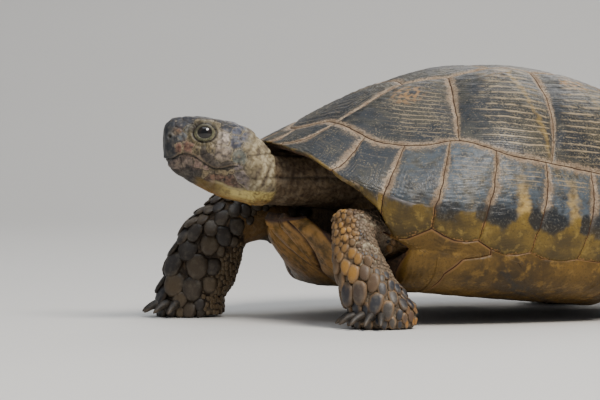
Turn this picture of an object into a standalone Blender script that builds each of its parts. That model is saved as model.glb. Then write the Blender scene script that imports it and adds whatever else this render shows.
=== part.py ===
"""A still, life-size spur-thighed tortoise, walking with its head up and out.

Metres, +Z up. The head is towards -X and the animal's left side is towards -Y. The shell and the trunk are
modelled level, in the shell's own frame with its origin under the middle of the plastron, and then tilted
nose up. The head has a frame of its own too, from the snout backwards. Neck, limbs and tail are modelled in
place, standing on the floor at z = 0.
"""

import math

import bmesh
import bpy
from mathutils import Matrix, Vector

# Shell: the carapace is a dome on a rim whose height changes round the body
SHELL_LENGTH = 0.225
SHELL_WIDTH = 0.165
SHELL_HEIGHT = 0.1095
APEX_X = 0.006  # the top of the dome lies behind the middle
CARAPACE_WALL = 0.004
PLASTRON_WALL = 0.005
OUTLINE_POWER = 2.35  # 2 is an ellipse, more is squarer
WALL_REACH = 0.090  # height of the wall under the keel for each radian of negative rise
TUCK = 150.0  # how fast that wall tucks in: the share of the radius lost for each square metre of drop
BACK_FLATNESS = 0.8
FLAT_BACK = 0.5  # how far out the flattened back reaches, as a share of the half width
DOME_TURNS = 50  # divisions round the dome
DOME_RISES = 10  # divisions from the rim to the top

# Pose
NOSE_UP = math.radians(5.3)
BELLY_HEIGHT = 0.010  # the plastron above the floor, under the middle
HEAD_TURN = math.radians(18)  # to the animal's own right
SNOUT = Vector((-0.1525, 0.0122, 0.0))  # under the tip of the snout

# Trunk: the flesh inside the shell, ended by one plane in front and another behind
TRUNK_FRONT = -0.070
TRUNK_REAR = 0.042
RUMP_REAR = 0.092
RUMP_FLOOR = 0.0300  # the skin over the hind legs, level with the shell's edge there

# Eyes, in the head's frame: behind the snout, to each side, above the floor
EYE_RADIUS = 0.0050
EYE_BACK = 0.0184
EYE_ASIDE = 0.0075
EYE_HEIGHT = 0.0878

CLAW_LENGTH = 0.0095
CLAW_RADIUS = 0.0021
GAP = 0.0003  # between pieces that meet

HORN = (0.16, 0.13, 0.08, 1.0)
SHELL_PLATE = (0.13, 0.12, 0.08, 1.0)
BELLY_PLATE = (0.30, 0.22, 0.10, 1.0)
HEAD_SCALE = (0.16, 0.14, 0.11, 1.0)
SOFT_SKIN = (0.24, 0.19, 0.13, 1.0)
LEG_SCALE = (0.27, 0.17, 0.08, 1.0)
EYE_BLACK = (0.01, 0.01, 0.01, 1.0)


# ---------------------------------------------------------------- scene and common tools


def clear_scene():
    for obj in list(bpy.data.objects):
        bpy.data.objects.remove(obj, do_unlink=True)


def collection_of(name):
    made = bpy.data.collections.new(name)
    bpy.context.scene.collection.children.link(made)
    return made


def material_of(name, colour, roughness):
    made = bpy.data.materials.new(name)
    made.use_nodes = True
    shader = made.node_tree.nodes["Principled BSDF"]
    shader.inputs["Base Color"].default_value = colour
    shader.inputs["Roughness"].default_value = roughness
    shader.inputs["Metallic"].default_value = 0.0
    made.diffuse_color = colour
    return made


def object_of(name, bm, material, collection, parent):
    """Makes the bmesh a smooth-shaded object under the parent, and frees the bmesh."""
    mesh = bpy.data.meshes.new(name)
    bm.to_mesh(mesh)
    bm.free()
    mesh.shade_smooth()
    mesh.set_sharp_from_angle(angle=math.radians(50))
    obj = bpy.data.objects.new(name, mesh)
    if material:
        mesh.materials.append(material)
    collection.objects.link(obj)
    obj.parent = parent
    return obj


def hide_cutter(obj):
    obj.hide_render = True
    obj.display_type = "WIRE"


def boolean(obj, cutter, operation):
    modifier = obj.modifiers.new(cutter.name, "BOOLEAN")
    modifier.object = cutter
    modifier.operation = operation
    modifier.solver = "EXACT"


def smooth_step(start, end, value):
    share = min(max((value - start) / (end - start), 0.0), 1.0)
    return share * share * (3 - 2 * share)


def eased(points, value):
    """Reads a smooth curve through (place, height) points, level beyond its ends and never past a point."""
    rises = [(d - b) / (c - a) for (a, b), (c, d) in zip(points, points[1:])]
    slopes = [0.0]
    for before, after in zip(rises, rises[1:]):
        slopes.append(2 * before * after / (before + after) if before * after > 0 else 0.0)
    slopes.append(0.0)
    value = max(value, points[0][0])
    for index, ((a, low), (b, high)) in enumerate(zip(points, points[1:])):
        if value <= b:
            span = b - a
            t = (value - a) / span
            blend = t * t * (3 - 2 * t)
            lean = slopes[index] * t * (1 - t) ** 2 - slopes[index + 1] * t * t * (1 - t)
            return low + (high - low) * blend + span * lean
    return points[-1][1]


# ---------------------------------------------------------------- shell


def rim_height(turn):
    """The height of the carapace's cut edge at an angle round the body, 0 in front and pi behind."""
    edge = (
        (0.0, 0.0640), (20.0, 0.0602), (35.0, 0.0490), (43.0, 0.0400), (50.0, 0.0203), (54.0, 0.0200),
        (112.0, 0.0200), (136.0, 0.0290), (158.0, 0.0270), (180.0, 0.0235),
    )
    return eased(edge, abs(math.degrees(turn)))


def spring_height(turn):
    """The height of the shell's side keel, where the dome stands upright and below which it tucks in."""
    spring = (
        (0.0, 0.0640), (20.0, 0.0595), (38.0, 0.0470), (54.0, 0.0395), (75.0, 0.0375),
        (100.0, 0.0360), (120.0, 0.0340), (150.0, 0.0290), (180.0, 0.0235),
    )
    return eased(spring, abs(math.degrees(turn)))


def outline(turn):
    """The place of the carapace's edge in plan at an angle round the body."""
    ahead, aside = math.cos(turn), math.sin(turn)
    reach = SHELL_LENGTH / 2 + (APEX_X if ahead > 0 else -APEX_X)
    bulge = (abs(ahead) ** OUTLINE_POWER + abs(aside) ** OUTLINE_POWER) ** (-1 / OUTLINE_POWER)
    return Vector((-reach * ahead * bulge, SHELL_WIDTH / 2 * aside * bulge))


def dome_share(turn, rise):
    """How far up the dome a point is, from 0 at the rim to 1 at the top: sloping in front, full behind."""
    inward = 1 - math.cos(rise)
    front = math.sin(math.pi / 2 * inward**1.05)
    side = math.sin(rise)
    rear = (1 - (1 - inward) ** 2.2) ** (1 / 2.2)
    ahead = math.cos(turn)
    to_front = smooth_step(0.15, 1.0, ahead)
    to_rear = smooth_step(0.15, 1.0, -ahead)
    return to_front * front + to_rear * rear + (1 - to_front - to_rear) * side


def dome_point(turn, rise):
    """A point on the dome: rise is 0 at the keel, pi/2 at the top and negative on the tucked wall."""
    spring = spring_height(turn)
    if rise < 0:
        drop = -WALL_REACH * rise
        edge = outline(turn) * (1 - TUCK * drop * drop)
        return Vector((APEX_X + edge.x, edge.y, spring - drop))
    out = math.cos(rise)
    edge = outline(turn) * out
    # Along the middle of the back the dome is flatter than an arch.
    ahead, aside = math.cos(turn) * out, math.sin(turn) * out
    aside *= 1 - BACK_FLATNESS * (1 - smooth_step(0.0, FLAT_BACK, abs(aside))) * (1 - out**4)
    flattened = math.acos(min(math.hypot(ahead, aside), 1.0))
    height = spring + (SHELL_HEIGHT - spring) * dome_share(math.atan2(aside, ahead), flattened)
    return Vector((APEX_X + edge.x, edge.y, height))


def rim_rise(turn):
    """The rise of the dome's cut edge, found by halving."""
    low, high = -math.pi / 4, math.pi / 4
    for _ in range(30):
        middle = (low + high) / 2
        if dome_point(turn, middle).z < rim_height(turn):
            low = middle
        else:
            high = middle
    return (low + high) / 2


def dome_height(x, y):
    """The height of the dome's outer face over a place in plan."""
    reach = SHELL_LENGTH / 2 + (APEX_X if x < APEX_X else -APEX_X)
    ahead, aside = (APEX_X - x) / reach, y / (SHELL_WIDTH / 2)
    out = (abs(ahead) ** OUTLINE_POWER + abs(aside) ** OUTLINE_POWER) ** (1 / OUTLINE_POWER)
    return dome_point(math.atan2(aside, ahead), math.acos(min(out, 1.0))).z


def half_dome():
    """The upper half of a sphere whose latitudes and longitudes become the dome's rises and turns."""
    bm = bmesh.new()
    bmesh.ops.create_uvsphere(bm, u_segments=DOME_TURNS, v_segments=2 * DOME_RISES, radius=1)
    lower = [v for v in bm.verts if v.co.z < -0.001]
    bmesh.ops.delete(bm, geom=lower, context="VERTS")
    for vert in bm.verts:
        share = math.asin(min(max(vert.co.z, 0.0), 1.0)) / (math.pi / 2)
        turn = math.atan2(vert.co.y, -vert.co.x)
        start = rim_rise(turn)
        vert.co = dome_point(turn, start + (math.pi / 2 - start) * share)
    return bm


def make_carapace(material, collection, shell_frame):
    carapace = object_of("carapace", half_dome(), material, collection, shell_frame)
    wall = carapace.modifiers.new("wall", "SOLIDIFY")
    wall.thickness = CARAPACE_WALL
    wall.offset = -1
    wall.use_even_offset = True
    return carapace


def plastron_half_width(x):
    """The half width of the plastron: a narrow front lobe, the bridge out to the rim, and a rear lobe."""
    lobes = (
        (-0.107, 0.015), (-0.095, 0.029), (-0.078, 0.039), (-0.064, 0.046),
        (0.050, 0.046), (0.068, 0.040), (0.084, 0.032), (0.096, 0.022),
    )
    return eased(lobes, x)


def bridge_share(x):
    """0 along the lobes and 1 along the bridge, where the plastron turns up to the carapace."""
    return smooth_step(-0.0745, -0.0665, x) * (1 - smooth_step(0.038, 0.046, x))


def rim_turn(x):
    """The angle round the body at which the carapace's edge has this x, found by halving."""
    low, high = 0.0, math.pi
    for _ in range(24):
        middle = (low + high) / 2
        if dome_point(middle, rim_rise(middle)).x < x:
            low = middle
        else:
            high = middle
    return (low + high) / 2


def plastron_point(x, across):
    """A point on the plastron's outer face: across runs from -1 to 1 over its width."""
    lobe_half = plastron_half_width(x)
    front_curl = 0.028 * smooth_step(-0.062, -0.112, x) ** 1.1
    rear_curl = 0.0075 * smooth_step(0.045, 0.100, x)
    side = abs(across)
    lobe_edge = 0.0035 * side**4
    lobe = Vector((side * lobe_half, front_curl + rear_curl + lobe_edge))
    turn = rim_turn(x)
    corner = 1 - smooth_step(-0.070, -0.060, x) * (1 - smooth_step(0.028, 0.040, x))
    rim = dome_point(turn, rim_rise(turn))
    rim_out, rim_up = rim.y, rim.z - 2 * GAP - 0.0015 * corner
    flat, bent, upright = 0.625, 0.875, 0.0030  # shares of the half width, and the height of the last upright strip
    bend = min(max((side - flat) / (bent - flat), 0.0), 1.0) * math.pi / 2
    strip = upright * max(side - bent, 0.0) / (1 - bent)
    inner = 0.044
    bridge = Vector((
        min(side / flat, 1.0) * inner + (rim_out - inner) * math.sin(bend),
        (rim_up - upright) * (1 - math.cos(bend)) + strip,
    ))
    mixed = lobe.lerp(bridge, bridge_share(x))
    # The two gular plates and the two anal plates leave a shallow notch between them.
    notch = max(0.0, 1 - side / 0.6)
    at_front, at_rear = smooth_step(-0.090, -0.107, x), smooth_step(0.078, 0.096, x)
    x += (0.004 * notch + 0.005 * side**4) * at_front - (0.010 * notch + 0.007 * side**3) * at_rear
    return Vector((x, math.copysign(mixed.x, across), mixed.y))


def make_plastron(material, collection, shell_frame):
    bm = bmesh.new()
    bmesh.ops.create_grid(bm, x_segments=26, y_segments=16, size=1)
    bmesh.ops.reverse_faces(bm, faces=bm.faces)
    front, rear = -0.107, 0.096
    for vert in bm.verts:
        x = front + (rear - front) * (vert.co.x + 1) / 2
        vert.co = plastron_point(x, vert.co.y)
    plastron = object_of("plastron", bm, material, collection, shell_frame)
    wall = plastron.modifiers.new("wall", "SOLIDIFY")
    wall.thickness = PLASTRON_WALL
    wall.offset = -1
    return plastron


# ---------------------------------------------------------------- flesh


def ring_matrix(centre, facing, across, half_across, half_up):
    """Places a unit circle: it faces along the limb, and its first axis lies along across."""
    facing = Vector(facing).normalized()
    side = Vector(across)
    side = (side - facing * side.dot(facing)).normalized()
    up = facing.cross(side)
    columns = (side * half_across, up * half_up, facing)
    made = Matrix([[columns[c][r] for c in range(3)] for r in range(3)]).to_4x4()
    made.translation = Vector(centre)
    return made


def loft(rings, segments):
    """A closed solid through ring matrices, with flat ends."""
    bm = bmesh.new()
    loops = []
    for matrix in rings:
        made = bmesh.ops.create_circle(bm, cap_ends=False, radius=1, segments=segments, matrix=matrix)
        loops.append(list({edge for vert in made["verts"] for edge in vert.link_edges}))
    for first, second in zip(loops, loops[1:]):
        bmesh.ops.bridge_loops(bm, edges=first + second)
    for end in (loops[0], loops[-1]):
        bmesh.ops.contextual_create(bm, geom=end)
    bmesh.ops.recalc_face_normals(bm, faces=bm.faces)
    return bm


def tilted(point):
    """Takes a point from the shell's frame to the standing animal."""
    return Matrix.Rotation(NOSE_UP, 3, "Y") @ Vector(point) + Vector((0, 0, BELLY_HEIGHT))


def make_trunk(material, collection, shell_frame):
    """Fills the shell: down to the plastron between the bridges, and only as a roof over the hind legs."""
    inside = 0.880  # the trunk's width as a share of the shell's
    below_shell = CARAPACE_WALL + 0.0035
    steps = 8
    # Each station: x, half width, lowest, the height at which it is widest
    stations = []
    for step in range(steps + 1):
        x = TRUNK_FRONT + (TRUNK_REAR - TRUNK_FRONT) * step / steps
        stations.append((x, outline(rim_turn(x)).y * inside, PLASTRON_WALL + 0.0030, 0.0235))
    for x, narrower in ((0.0480, 0.90), (0.0640, 0.89), (0.0800, 0.84), (RUMP_REAR, 0.62)):
        stations.append((x, outline(rim_turn(x)).y * narrower, RUMP_FLOOR, RUMP_FLOOR + 0.0040))
    unit = 0.01  # a ring's half height before it is fitted between the floor and the roof
    rings = [ring_matrix((x, 0, middle), (1, 0, 0), (0, 1, 0), half, unit) for x, half, _, middle in stations]
    bm = loft(rings, 28)
    for vert in bm.verts:
        x, _, low, middle = min(stations, key=lambda station: abs(station[0] - vert.co.x))
        share = (vert.co.z - middle) / unit
        if share < 0:
            flatness = 0.5 if low == RUMP_FLOOR else 1.0
            vert.co.z = middle - (middle - low) * (-share) ** flatness
        else:
            roof = dome_height(x, vert.co.y / inside) - below_shell
            vert.co.z = max(roof, middle + 0.004 * share)
    return object_of("trunk", bm, material, collection, shell_frame)


def make_neck(material, collection, root):
    start = tilted((TRUNK_FRONT - GAP, 0.0, 0.0520))
    forward = tilted((1, 0, 0)) - tilted((0, 0, 0))
    axis = Vector((-math.cos(HEAD_TURN), math.sin(HEAD_TURN), 0))
    base = SNOUT - axis * (HEAD_STATIONS[-1][0] + GAP)
    rings = [
        ring_matrix(start, -forward, (0, 1, 0), 0.0260, 0.0180),
        ring_matrix((-0.084, 0.0, 0.0675), (-1, 0, 0), (0, 1, 0), 0.0225, 0.0148),
        ring_matrix((-0.096, 0.0, 0.0668), (-1, 0, 0), (0, 1, 0), 0.0180, 0.0133),
        ring_matrix((-0.1045, 0.0005, 0.0668), (-1, 0, 0), (0, 1, 0), 0.0152, 0.0126),
        ring_matrix((base.x, base.y, 0.0708), axis, (0, 1, 0), 0.0142, 0.0160),
    ]
    return object_of("neck", loft(rings, 20), material, collection, root)


# The head's stations, in its own frame: behind the snout, top, bottom, half width
HEAD_STATIONS = (
    (0.0000, 0.0895, 0.0770, 0.0044),
    (0.0010, 0.0925, 0.0738, 0.0064),
    (0.0040, 0.0948, 0.0702, 0.0079),
    (0.0100, 0.0958, 0.0662, 0.0095),
    (0.0155, 0.0957, 0.0630, 0.0112),
    (0.0210, 0.0951, 0.0600, 0.0127),
    (0.0270, 0.0941, 0.0576, 0.0142),
    (0.0330, 0.0928, 0.0562, 0.0149),
    (0.0380, 0.0906, 0.0553, 0.0147),
    (0.0415, 0.0880, 0.0548, 0.0140),
)
MOUTH_FRONT = 0.0748  # the height of the mouth line at the beak
MOUTH_REAR = 0.0700  # and at its corner
MOUTH_CORNER = 0.0225
BEAK_OVERHANG = 0.0016


def head_bmesh():
    """The whole head on its own axis, with the snout at the origin and the neck towards +X."""
    rings = []
    for back, top, bottom, half in HEAD_STATIONS:
        centre = (back, 0.0, (top + bottom) / 2)
        rings.append(ring_matrix(centre, (1, 0, 0), (0, 1, 0), half, (top - bottom) / 2))
    bm = loft(rings, 24)
    for vert in bm.verts:
        back = vert.co.x
        station = min(HEAD_STATIONS, key=lambda row: abs(row[0] - back))
        _, top, bottom, half = station
        up = (vert.co.z - (top + bottom) / 2) / ((top - bottom) / 2)
        side = vert.co.y / half
        # Flat crown, full cheeks and a throat that narrows.
        squarer = abs(side) ** 0.80
        taper = 1 - 0.36 * smooth_step(0.0, -1.0, up)
        vert.co.y = math.copysign(half * squarer * taper, side)
    return bm


def box_bmesh(low, high):
    bm = bmesh.new()
    bmesh.ops.create_cube(bm, size=1)
    low, high = Vector(low), Vector(high)
    for vert in bm.verts:
        share = vert.co + Vector((0.5, 0.5, 0.5))
        vert.co = Vector(low[i] + (high[i] - low[i]) * share[i] for i in range(3))
    return bm


def mouth_block(room):
    """The space of the lower jaw, under the mouth line: room is added all round it."""
    bm = box_bmesh((-0.010, -0.030, 0.040), (MOUTH_CORNER + room, 0.030, MOUTH_REAR))
    for vert in bm.verts:
        if vert.co.z > 0.05:
            share = (vert.co.x + 0.010) / (MOUTH_CORNER + 0.010)
            vert.co.z = MOUTH_FRONT + 0.0020 + (MOUTH_REAR - MOUTH_FRONT - 0.0020) * share + room
    return bm


def make_head(materials, collection, cutters, head_frame):
    head = object_of("head", head_bmesh(), materials["head_scale"], collection, head_frame)
    space = object_of("mouth_space", mouth_block(GAP), None, cutters, head_frame)
    hide_cutter(space)
    boolean(head, space, "DIFFERENCE")
    jaw = object_of("lower_jaw", head_bmesh(), materials["head_scale"], collection, head_frame)
    block = object_of("jaw_block", mouth_block(0.0), None, cutters, head_frame)
    hide_cutter(block)
    boolean(jaw, block, "INTERSECT")
    front = box_bmesh((-0.020, -0.030, 0.040), (BEAK_OVERHANG, 0.030, 0.090))
    trim = object_of("beak_front", front, None, cutters, head_frame)
    hide_cutter(trim)
    boolean(jaw, trim, "DIFFERENCE")
    for side, sign in (("left", -1), ("right", 1)):
        place = Matrix.Translation((EYE_BACK, sign * EYE_ASIDE, EYE_HEIGHT))
        eye = bmesh.new()
        bmesh.ops.create_uvsphere(eye, u_segments=14, v_segments=8, radius=EYE_RADIUS, matrix=place)
        object_of(f"eye_{side}", eye, materials["eye"], collection, head_frame)
        hollow = bmesh.new()
        bmesh.ops.create_uvsphere(hollow, u_segments=14, v_segments=8, radius=EYE_RADIUS + GAP, matrix=place)
        socket = object_of(f"eye_socket_{side}", hollow, None, cutters, head_frame)
        hide_cutter(socket)
        boolean(head, socket, "DIFFERENCE")


# ---------------------------------------------------------------- limbs


def shifted(matrix, along):
    """The same ring, moved along its own facing."""
    moved = matrix.copy()
    moved.translation += (matrix.to_3x3().col[2]).normalized() * along
    return moved


def make_limb(names, rings, cuts, material, collection, root):
    """One loft for each name, parted at the rings that cuts lists, with the gap shared between them."""
    bounds = [0, *cuts, len(rings) - 1]
    made = []
    for name, first, last in zip(names, bounds, bounds[1:]):
        run = list(rings[first : last + 1])
        if first:
            run[0] = shifted(run[0], GAP / 2)
        if last < len(rings) - 1:
            run[-1] = shifted(run[-1], -GAP / 2)
        made.append(object_of(name, loft(run, 18), material, collection, root))
    return made


def limb_rings(root_ring, stations, across):
    """Rings along a limb, each facing from the station before it to the one after, and the sole level."""
    rings = [root_ring]
    centres = [Vector(station[0]) for station in stations]
    before = root_ring.translation
    for index, (centre, half_across, half_other) in enumerate(stations):
        after = centres[index + 1] if index + 1 < len(centres) else None
        facing = (after - before) if after else Vector((0, 0, -1))
        near_floor = centre[2] < 0.012
        rings.append(
            ring_matrix(centre, (0, 0, -1) if near_floor else facing, across, half_across, half_other)
        )
        before = centres[index]
    return rings


def sole_stations(x, y, half_across, half_other):
    """The last rings of a foot: round at its edge and flat underneath."""
    return (
        ((x, y, 0.0090), half_across * 0.97, half_other * 0.97),
        ((x, y, 0.0035), half_across, half_other),
        ((x, y, 0.0008), half_across * 0.95, half_other * 0.95),
        ((x, y, 0.0000), half_across * 0.88, half_other * 0.88),
    )


def make_claws(name, foot, count, centre, half, toe_angles, materials, collection, cutters, root):
    """Curved claws on the front edge of a foot, each set in a socket of its own."""
    first, last = toe_angles
    for number in range(count):
        angle = math.radians(first + (last - first) * number / (count - 1))
        out = Vector((-math.cos(angle), math.sin(angle), 0))
        reach = 1 / math.hypot(out.x / half[0], out.y / half[1])
        base = Vector((centre[0], centre[1], 0.0066)) + out * (reach - 0.0030)
        for label, room in (("claw", 0.0), ("claw_socket", GAP)):
            across = Vector((-out.y, out.x, 0))
            rings = []
            for share, drop, thick in ((0, 0, 1.0), (0.35, 0.0006, 0.92), (0.7, 0.0021, 0.62), (1, 0.0042, 0.16)):
                place = base + out * (CLAW_LENGTH * share - (room if share == 0 else 0)) - Vector((0, 0, drop))
                lean = out - Vector((0, 0, 0.75 * share))
                radius = CLAW_RADIUS * thick + room
                rings.append(ring_matrix(place, lean, across, radius, radius))
            bm = loft(rings, 8)
            if label == "claw":
                object_of(f"{label}_{name}_{number + 1}", bm, materials["claw"], collection, root)
            else:
                socket = object_of(f"{label}_{name}_{number + 1}", bm, None, cutters, root)
                hide_cutter(socket)
                boolean(foot, socket, "DIFFERENCE")


def make_forelegs(materials, collection, cutters, root):
    forward = tilted((1, 0, 0)) - tilted((0, 0, 0))
    legs = (
        (
            "left", -1, (0.0420, 0.0250), Vector((0.85, -0.52, 0)),
            (
                ((-0.0750, -0.0440, 0.0440), 0.0108, 0.0102),
                ((-0.0860, -0.0480, 0.0465), 0.0102, 0.0102),
                ((-0.0858, -0.0520, 0.0330), 0.0112, 0.0106),
                ((-0.0820, -0.0565, 0.0185), 0.0128, 0.0114),
            ),
            (-0.0765, -0.0600, 0.0158, 0.0132), (-58, 22),
        ),
        (
            "right", 1, (0.0420, 0.0265), Vector((0.90, -0.43, 0)),
            (
                ((-0.0860, 0.0440, 0.0470), 0.0128, 0.0120),
                ((-0.1020, 0.0455, 0.0460), 0.0148, 0.0130),
                ((-0.1100, 0.0480, 0.0360), 0.0166, 0.0135),
                ((-0.1150, 0.0500, 0.0210), 0.0172, 0.0135),
            ),
            (-0.1200, 0.0520, 0.0172, 0.0140), (-36, 44),
        ),
    )
    for side, sign, (out, up), across, stations, sole, toes in legs:
        start = tilted((TRUNK_FRONT - GAP, sign * out, up))
        root_ring = ring_matrix(start, -forward, (0, 1, 0), 0.0120, 0.0120)
        rings = limb_rings(root_ring, stations + sole_stations(*sole), across)
        names = [f"foreleg_upper_{side}", f"foreleg_lower_{side}", f"forefoot_{side}"]
        foot = make_limb(names, rings, (2, 5), materials["leg_scale"], collection, root)[-1]
        half = (sole[2], sole[3])
        make_claws(f"front_{side}", foot, 5, sole[:2], half, toes, materials, collection, cutters, root)


def make_hind_legs(materials, collection, cutters, root):
    """Columns that come straight down from the skin under the rear of the shell."""
    legs = (
        (
            "left", (0.0610, -0.0500),
            (((0.0655, -0.0540, 0.0250), 0.0135, 0.0120), ((0.0660, -0.0575, 0.0160), 0.0133, 0.0122)),
            (0.0645, -0.0600, 0.0145, 0.0135), (-48, 20),
        ),
        (
            "right", (0.0680, 0.0430),
            (((0.0770, 0.0475, 0.0240), 0.0132, 0.0118), ((0.0825, 0.0520, 0.0160), 0.0133, 0.0122)),
            (0.0860, 0.0550, 0.0145, 0.0135), (-20, 48),
        ),
    )
    downward = tilted((0, 0, 0)) - tilted((0, 0, 1))
    for side, (x, y), stations, sole, toes in legs:
        start = tilted((x, y, RUMP_FLOOR - GAP))
        root_ring = ring_matrix(start, downward, (1, 0, 0), 0.0130, 0.0105)
        rings = limb_rings(root_ring, stations + sole_stations(*sole), (1, 0, 0))
        names = [f"hindleg_{side}", f"hindfoot_{side}"]
        foot = make_limb(names, rings, (3,), materials["leg_scale"], collection, root)[-1]
        half = (sole[2], sole[3])
        make_claws(f"hind_{side}", foot, 4, sole[:2], half, toes, materials, collection, cutters, root)


def make_tail(material, collection, shell_frame):
    rings = [
        ring_matrix((RUMP_REAR + GAP, 0.0, 0.0400), (1, 0, 0), (0, 1, 0), 0.0105, 0.0085),
        ring_matrix((0.0990, 0.0, 0.0300), (1, 0, -1.6), (0, 1, 0), 0.0088, 0.0068),
        ring_matrix((0.1020, 0.0, 0.0180), (0.3, 0, -1), (0, 1, 0), 0.0066, 0.0052),
        ring_matrix((0.1040, 0.0, 0.0090), (0.2, 0, -1), (0, 1, 0), 0.0040, 0.0034),
        ring_matrix((0.1050, 0.0, 0.0035), (0.1, 0, -1), (0, 1, 0), 0.0016, 0.0014),
    ]
    return object_of("tail", loft(rings, 14), material, collection, shell_frame)


# ---------------------------------------------------------------- assembly


def centre_on_floor(root, collection):
    """Moves the whole animal in plan, so that the origin lies under the middle of its box."""
    bpy.context.view_layer.update()
    graph = bpy.context.evaluated_depsgraph_get()
    points = []
    for obj in collection.objects:
        if obj.type == "MESH":
            evaluated = obj.evaluated_get(graph)
            points += [evaluated.matrix_world @ vert.co for vert in evaluated.data.vertices]
    for axis in (0, 1):
        values = [point[axis] for point in points]
        root.location[axis] = -(min(values) + max(values)) / 2


def main():
    clear_scene()
    collection = collection_of("tortoise")
    cutters = collection_of("cutters")
    materials = {
        "shell": material_of("shell_plate", SHELL_PLATE, 0.45),
        "belly": material_of("belly_plate", BELLY_PLATE, 0.55),
        "head_scale": material_of("head_scale", HEAD_SCALE, 0.5),
        "skin": material_of("soft_skin", SOFT_SKIN, 0.75),
        "leg_scale": material_of("leg_scale", LEG_SCALE, 0.6),
        "claw": material_of("claw_horn", HORN, 0.4),
        "eye": material_of("eye_black", EYE_BLACK, 0.08),
    }
    root = bpy.data.objects.new("tortoise_root", None)
    collection.objects.link(root)
    shell_frame = bpy.data.objects.new("shell_frame", None)
    shell_frame.parent = root
    shell_frame.location = (0, 0, BELLY_HEIGHT)
    shell_frame.rotation_euler = (0, NOSE_UP, 0)
    collection.objects.link(shell_frame)
    head_frame = bpy.data.objects.new("head_frame", None)
    head_frame.parent = root
    head_frame.location = SNOUT
    head_frame.rotation_euler = (0, 0, -HEAD_TURN)
    collection.objects.link(head_frame)

    make_carapace(materials["shell"], collection, shell_frame)
    make_plastron(materials["belly"], collection, shell_frame)
    make_trunk(materials["skin"], collection, shell_frame)
    make_neck(materials["skin"], collection, root)
    make_head(materials, collection, cutters, head_frame)
    make_forelegs(materials, collection, cutters, root)
    make_hind_legs(materials, collection, cutters, root)
    make_tail(materials["skin"], collection, shell_frame)
    centre_on_floor(root, collection)


main()
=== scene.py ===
"""The looks of a still, life-size spur-thighed tortoise.

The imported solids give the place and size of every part. What is modelled here is horn, skin and scales as a
museum preparator would make them: shell plates cast one by one over a smooth core, a moulded skin with its
scales set over it, turned glass eyes and carved claws. Metres, +Z up, head towards -X.
"""

import math
import random

import bmesh
import bpy
from mathutils import Matrix, Vector, noise
from mathutils.bvhtree import BVHTree


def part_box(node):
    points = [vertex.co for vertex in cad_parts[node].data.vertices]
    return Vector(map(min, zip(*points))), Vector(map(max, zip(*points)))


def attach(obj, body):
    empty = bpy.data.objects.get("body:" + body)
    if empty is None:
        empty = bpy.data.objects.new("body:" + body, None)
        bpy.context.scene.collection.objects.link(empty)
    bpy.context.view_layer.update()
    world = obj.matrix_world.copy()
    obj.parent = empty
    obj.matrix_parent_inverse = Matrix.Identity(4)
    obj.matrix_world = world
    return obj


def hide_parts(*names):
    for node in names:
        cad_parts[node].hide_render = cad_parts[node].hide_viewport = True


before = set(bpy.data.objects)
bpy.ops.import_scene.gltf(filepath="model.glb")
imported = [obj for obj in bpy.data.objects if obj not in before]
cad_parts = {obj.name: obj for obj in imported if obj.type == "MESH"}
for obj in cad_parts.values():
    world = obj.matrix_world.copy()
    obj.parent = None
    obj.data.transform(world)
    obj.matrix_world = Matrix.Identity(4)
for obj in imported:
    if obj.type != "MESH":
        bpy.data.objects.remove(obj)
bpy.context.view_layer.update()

# ---------------------------------------------------------------- camera, floor and light
# A long lens, low and a little in front of the animal's left side. A white sweep of card stands
# under and behind it, lit by one large soft light from high in front and a weaker one from behind. The
# card can't be seen from its back, so that it never hides the animal.
eye_low, eye_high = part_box("eye_left")
HEAD_TURN = math.radians(18)
SNOUT = Vector((-0.1525, 0.0122, 0.0))
EYE_PLACE = Vector((0.0184, -0.0075, 0.0878))
head_axes = Matrix.Rotation(-HEAD_TURN, 3, "Z")
STAND = (eye_low + eye_high) / 2 - SNOUT - head_axes @ EYE_PLACE
STAND.z = 0.0

VIEW_AZIMUTH = math.radians(-27)
VIEW_HEIGHT = math.radians(2)
VIEW_DISTANCE = 1.6
LENS = 201
AIM_LEFT = 0.0786
AIM_HEIGHT = 0.055
LIGHT_DISTANCE = 1.7
VIEW_RIGHT = Vector((math.cos(VIEW_AZIMUTH), math.sin(VIEW_AZIMUTH), 0))
aim = STAND - VIEW_RIGHT * AIM_LEFT + Vector((0, 0, AIM_HEIGHT))


def way_to(azimuth, height):
    """The direction from the animal to a camera or a light."""
    return Vector((
        math.sin(azimuth) * math.cos(height), -math.cos(azimuth) * math.cos(height), math.sin(height)
    ))


def stand_at(obj, place, way):
    """Puts a camera or a light at a place, facing back along its way."""
    obj.location = place
    obj.rotation_euler = way.to_track_quat("Z", "Y").to_euler()
    bpy.context.scene.collection.objects.link(obj)


camera = bpy.data.objects.new("camera", bpy.data.cameras.new("camera"))
camera.data.lens = LENS
camera.data.clip_start = 0.05
towards_camera = way_to(VIEW_AZIMUTH, VIEW_HEIGHT)
stand_at(camera, aim + towards_camera * VIEW_DISTANCE, towards_camera)
bpy.context.scene.camera = camera


def piece_of(name, bm, material=None):
    """Makes a smooth-shaded object of the bmesh, at the origin, and frees the bmesh."""
    mesh = bpy.data.meshes.new(name)
    bm.to_mesh(mesh)
    bm.free()
    mesh.shade_smooth()
    obj = bpy.data.objects.new(name, mesh)
    if material:
        mesh.materials.append(material)
    bpy.context.scene.collection.objects.link(obj)
    return obj


def feed(tree, value, socket):
    """Links a node's output to an input, or sets the input's own value."""
    if isinstance(value, bpy.types.NodeSocket):
        tree.links.new(value, socket)
    else:
        socket.default_value = value


def add(tree, kind, inputs=None, **settings):
    """Adds a node, sets its properties, and feeds its inputs."""
    made = tree.nodes.new("ShaderNode" + kind)
    for name, value in settings.items():
        setattr(made, name, value)
    for name, value in (inputs or {}).items():
        feed(tree, value, made.inputs[name])
    return made


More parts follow.
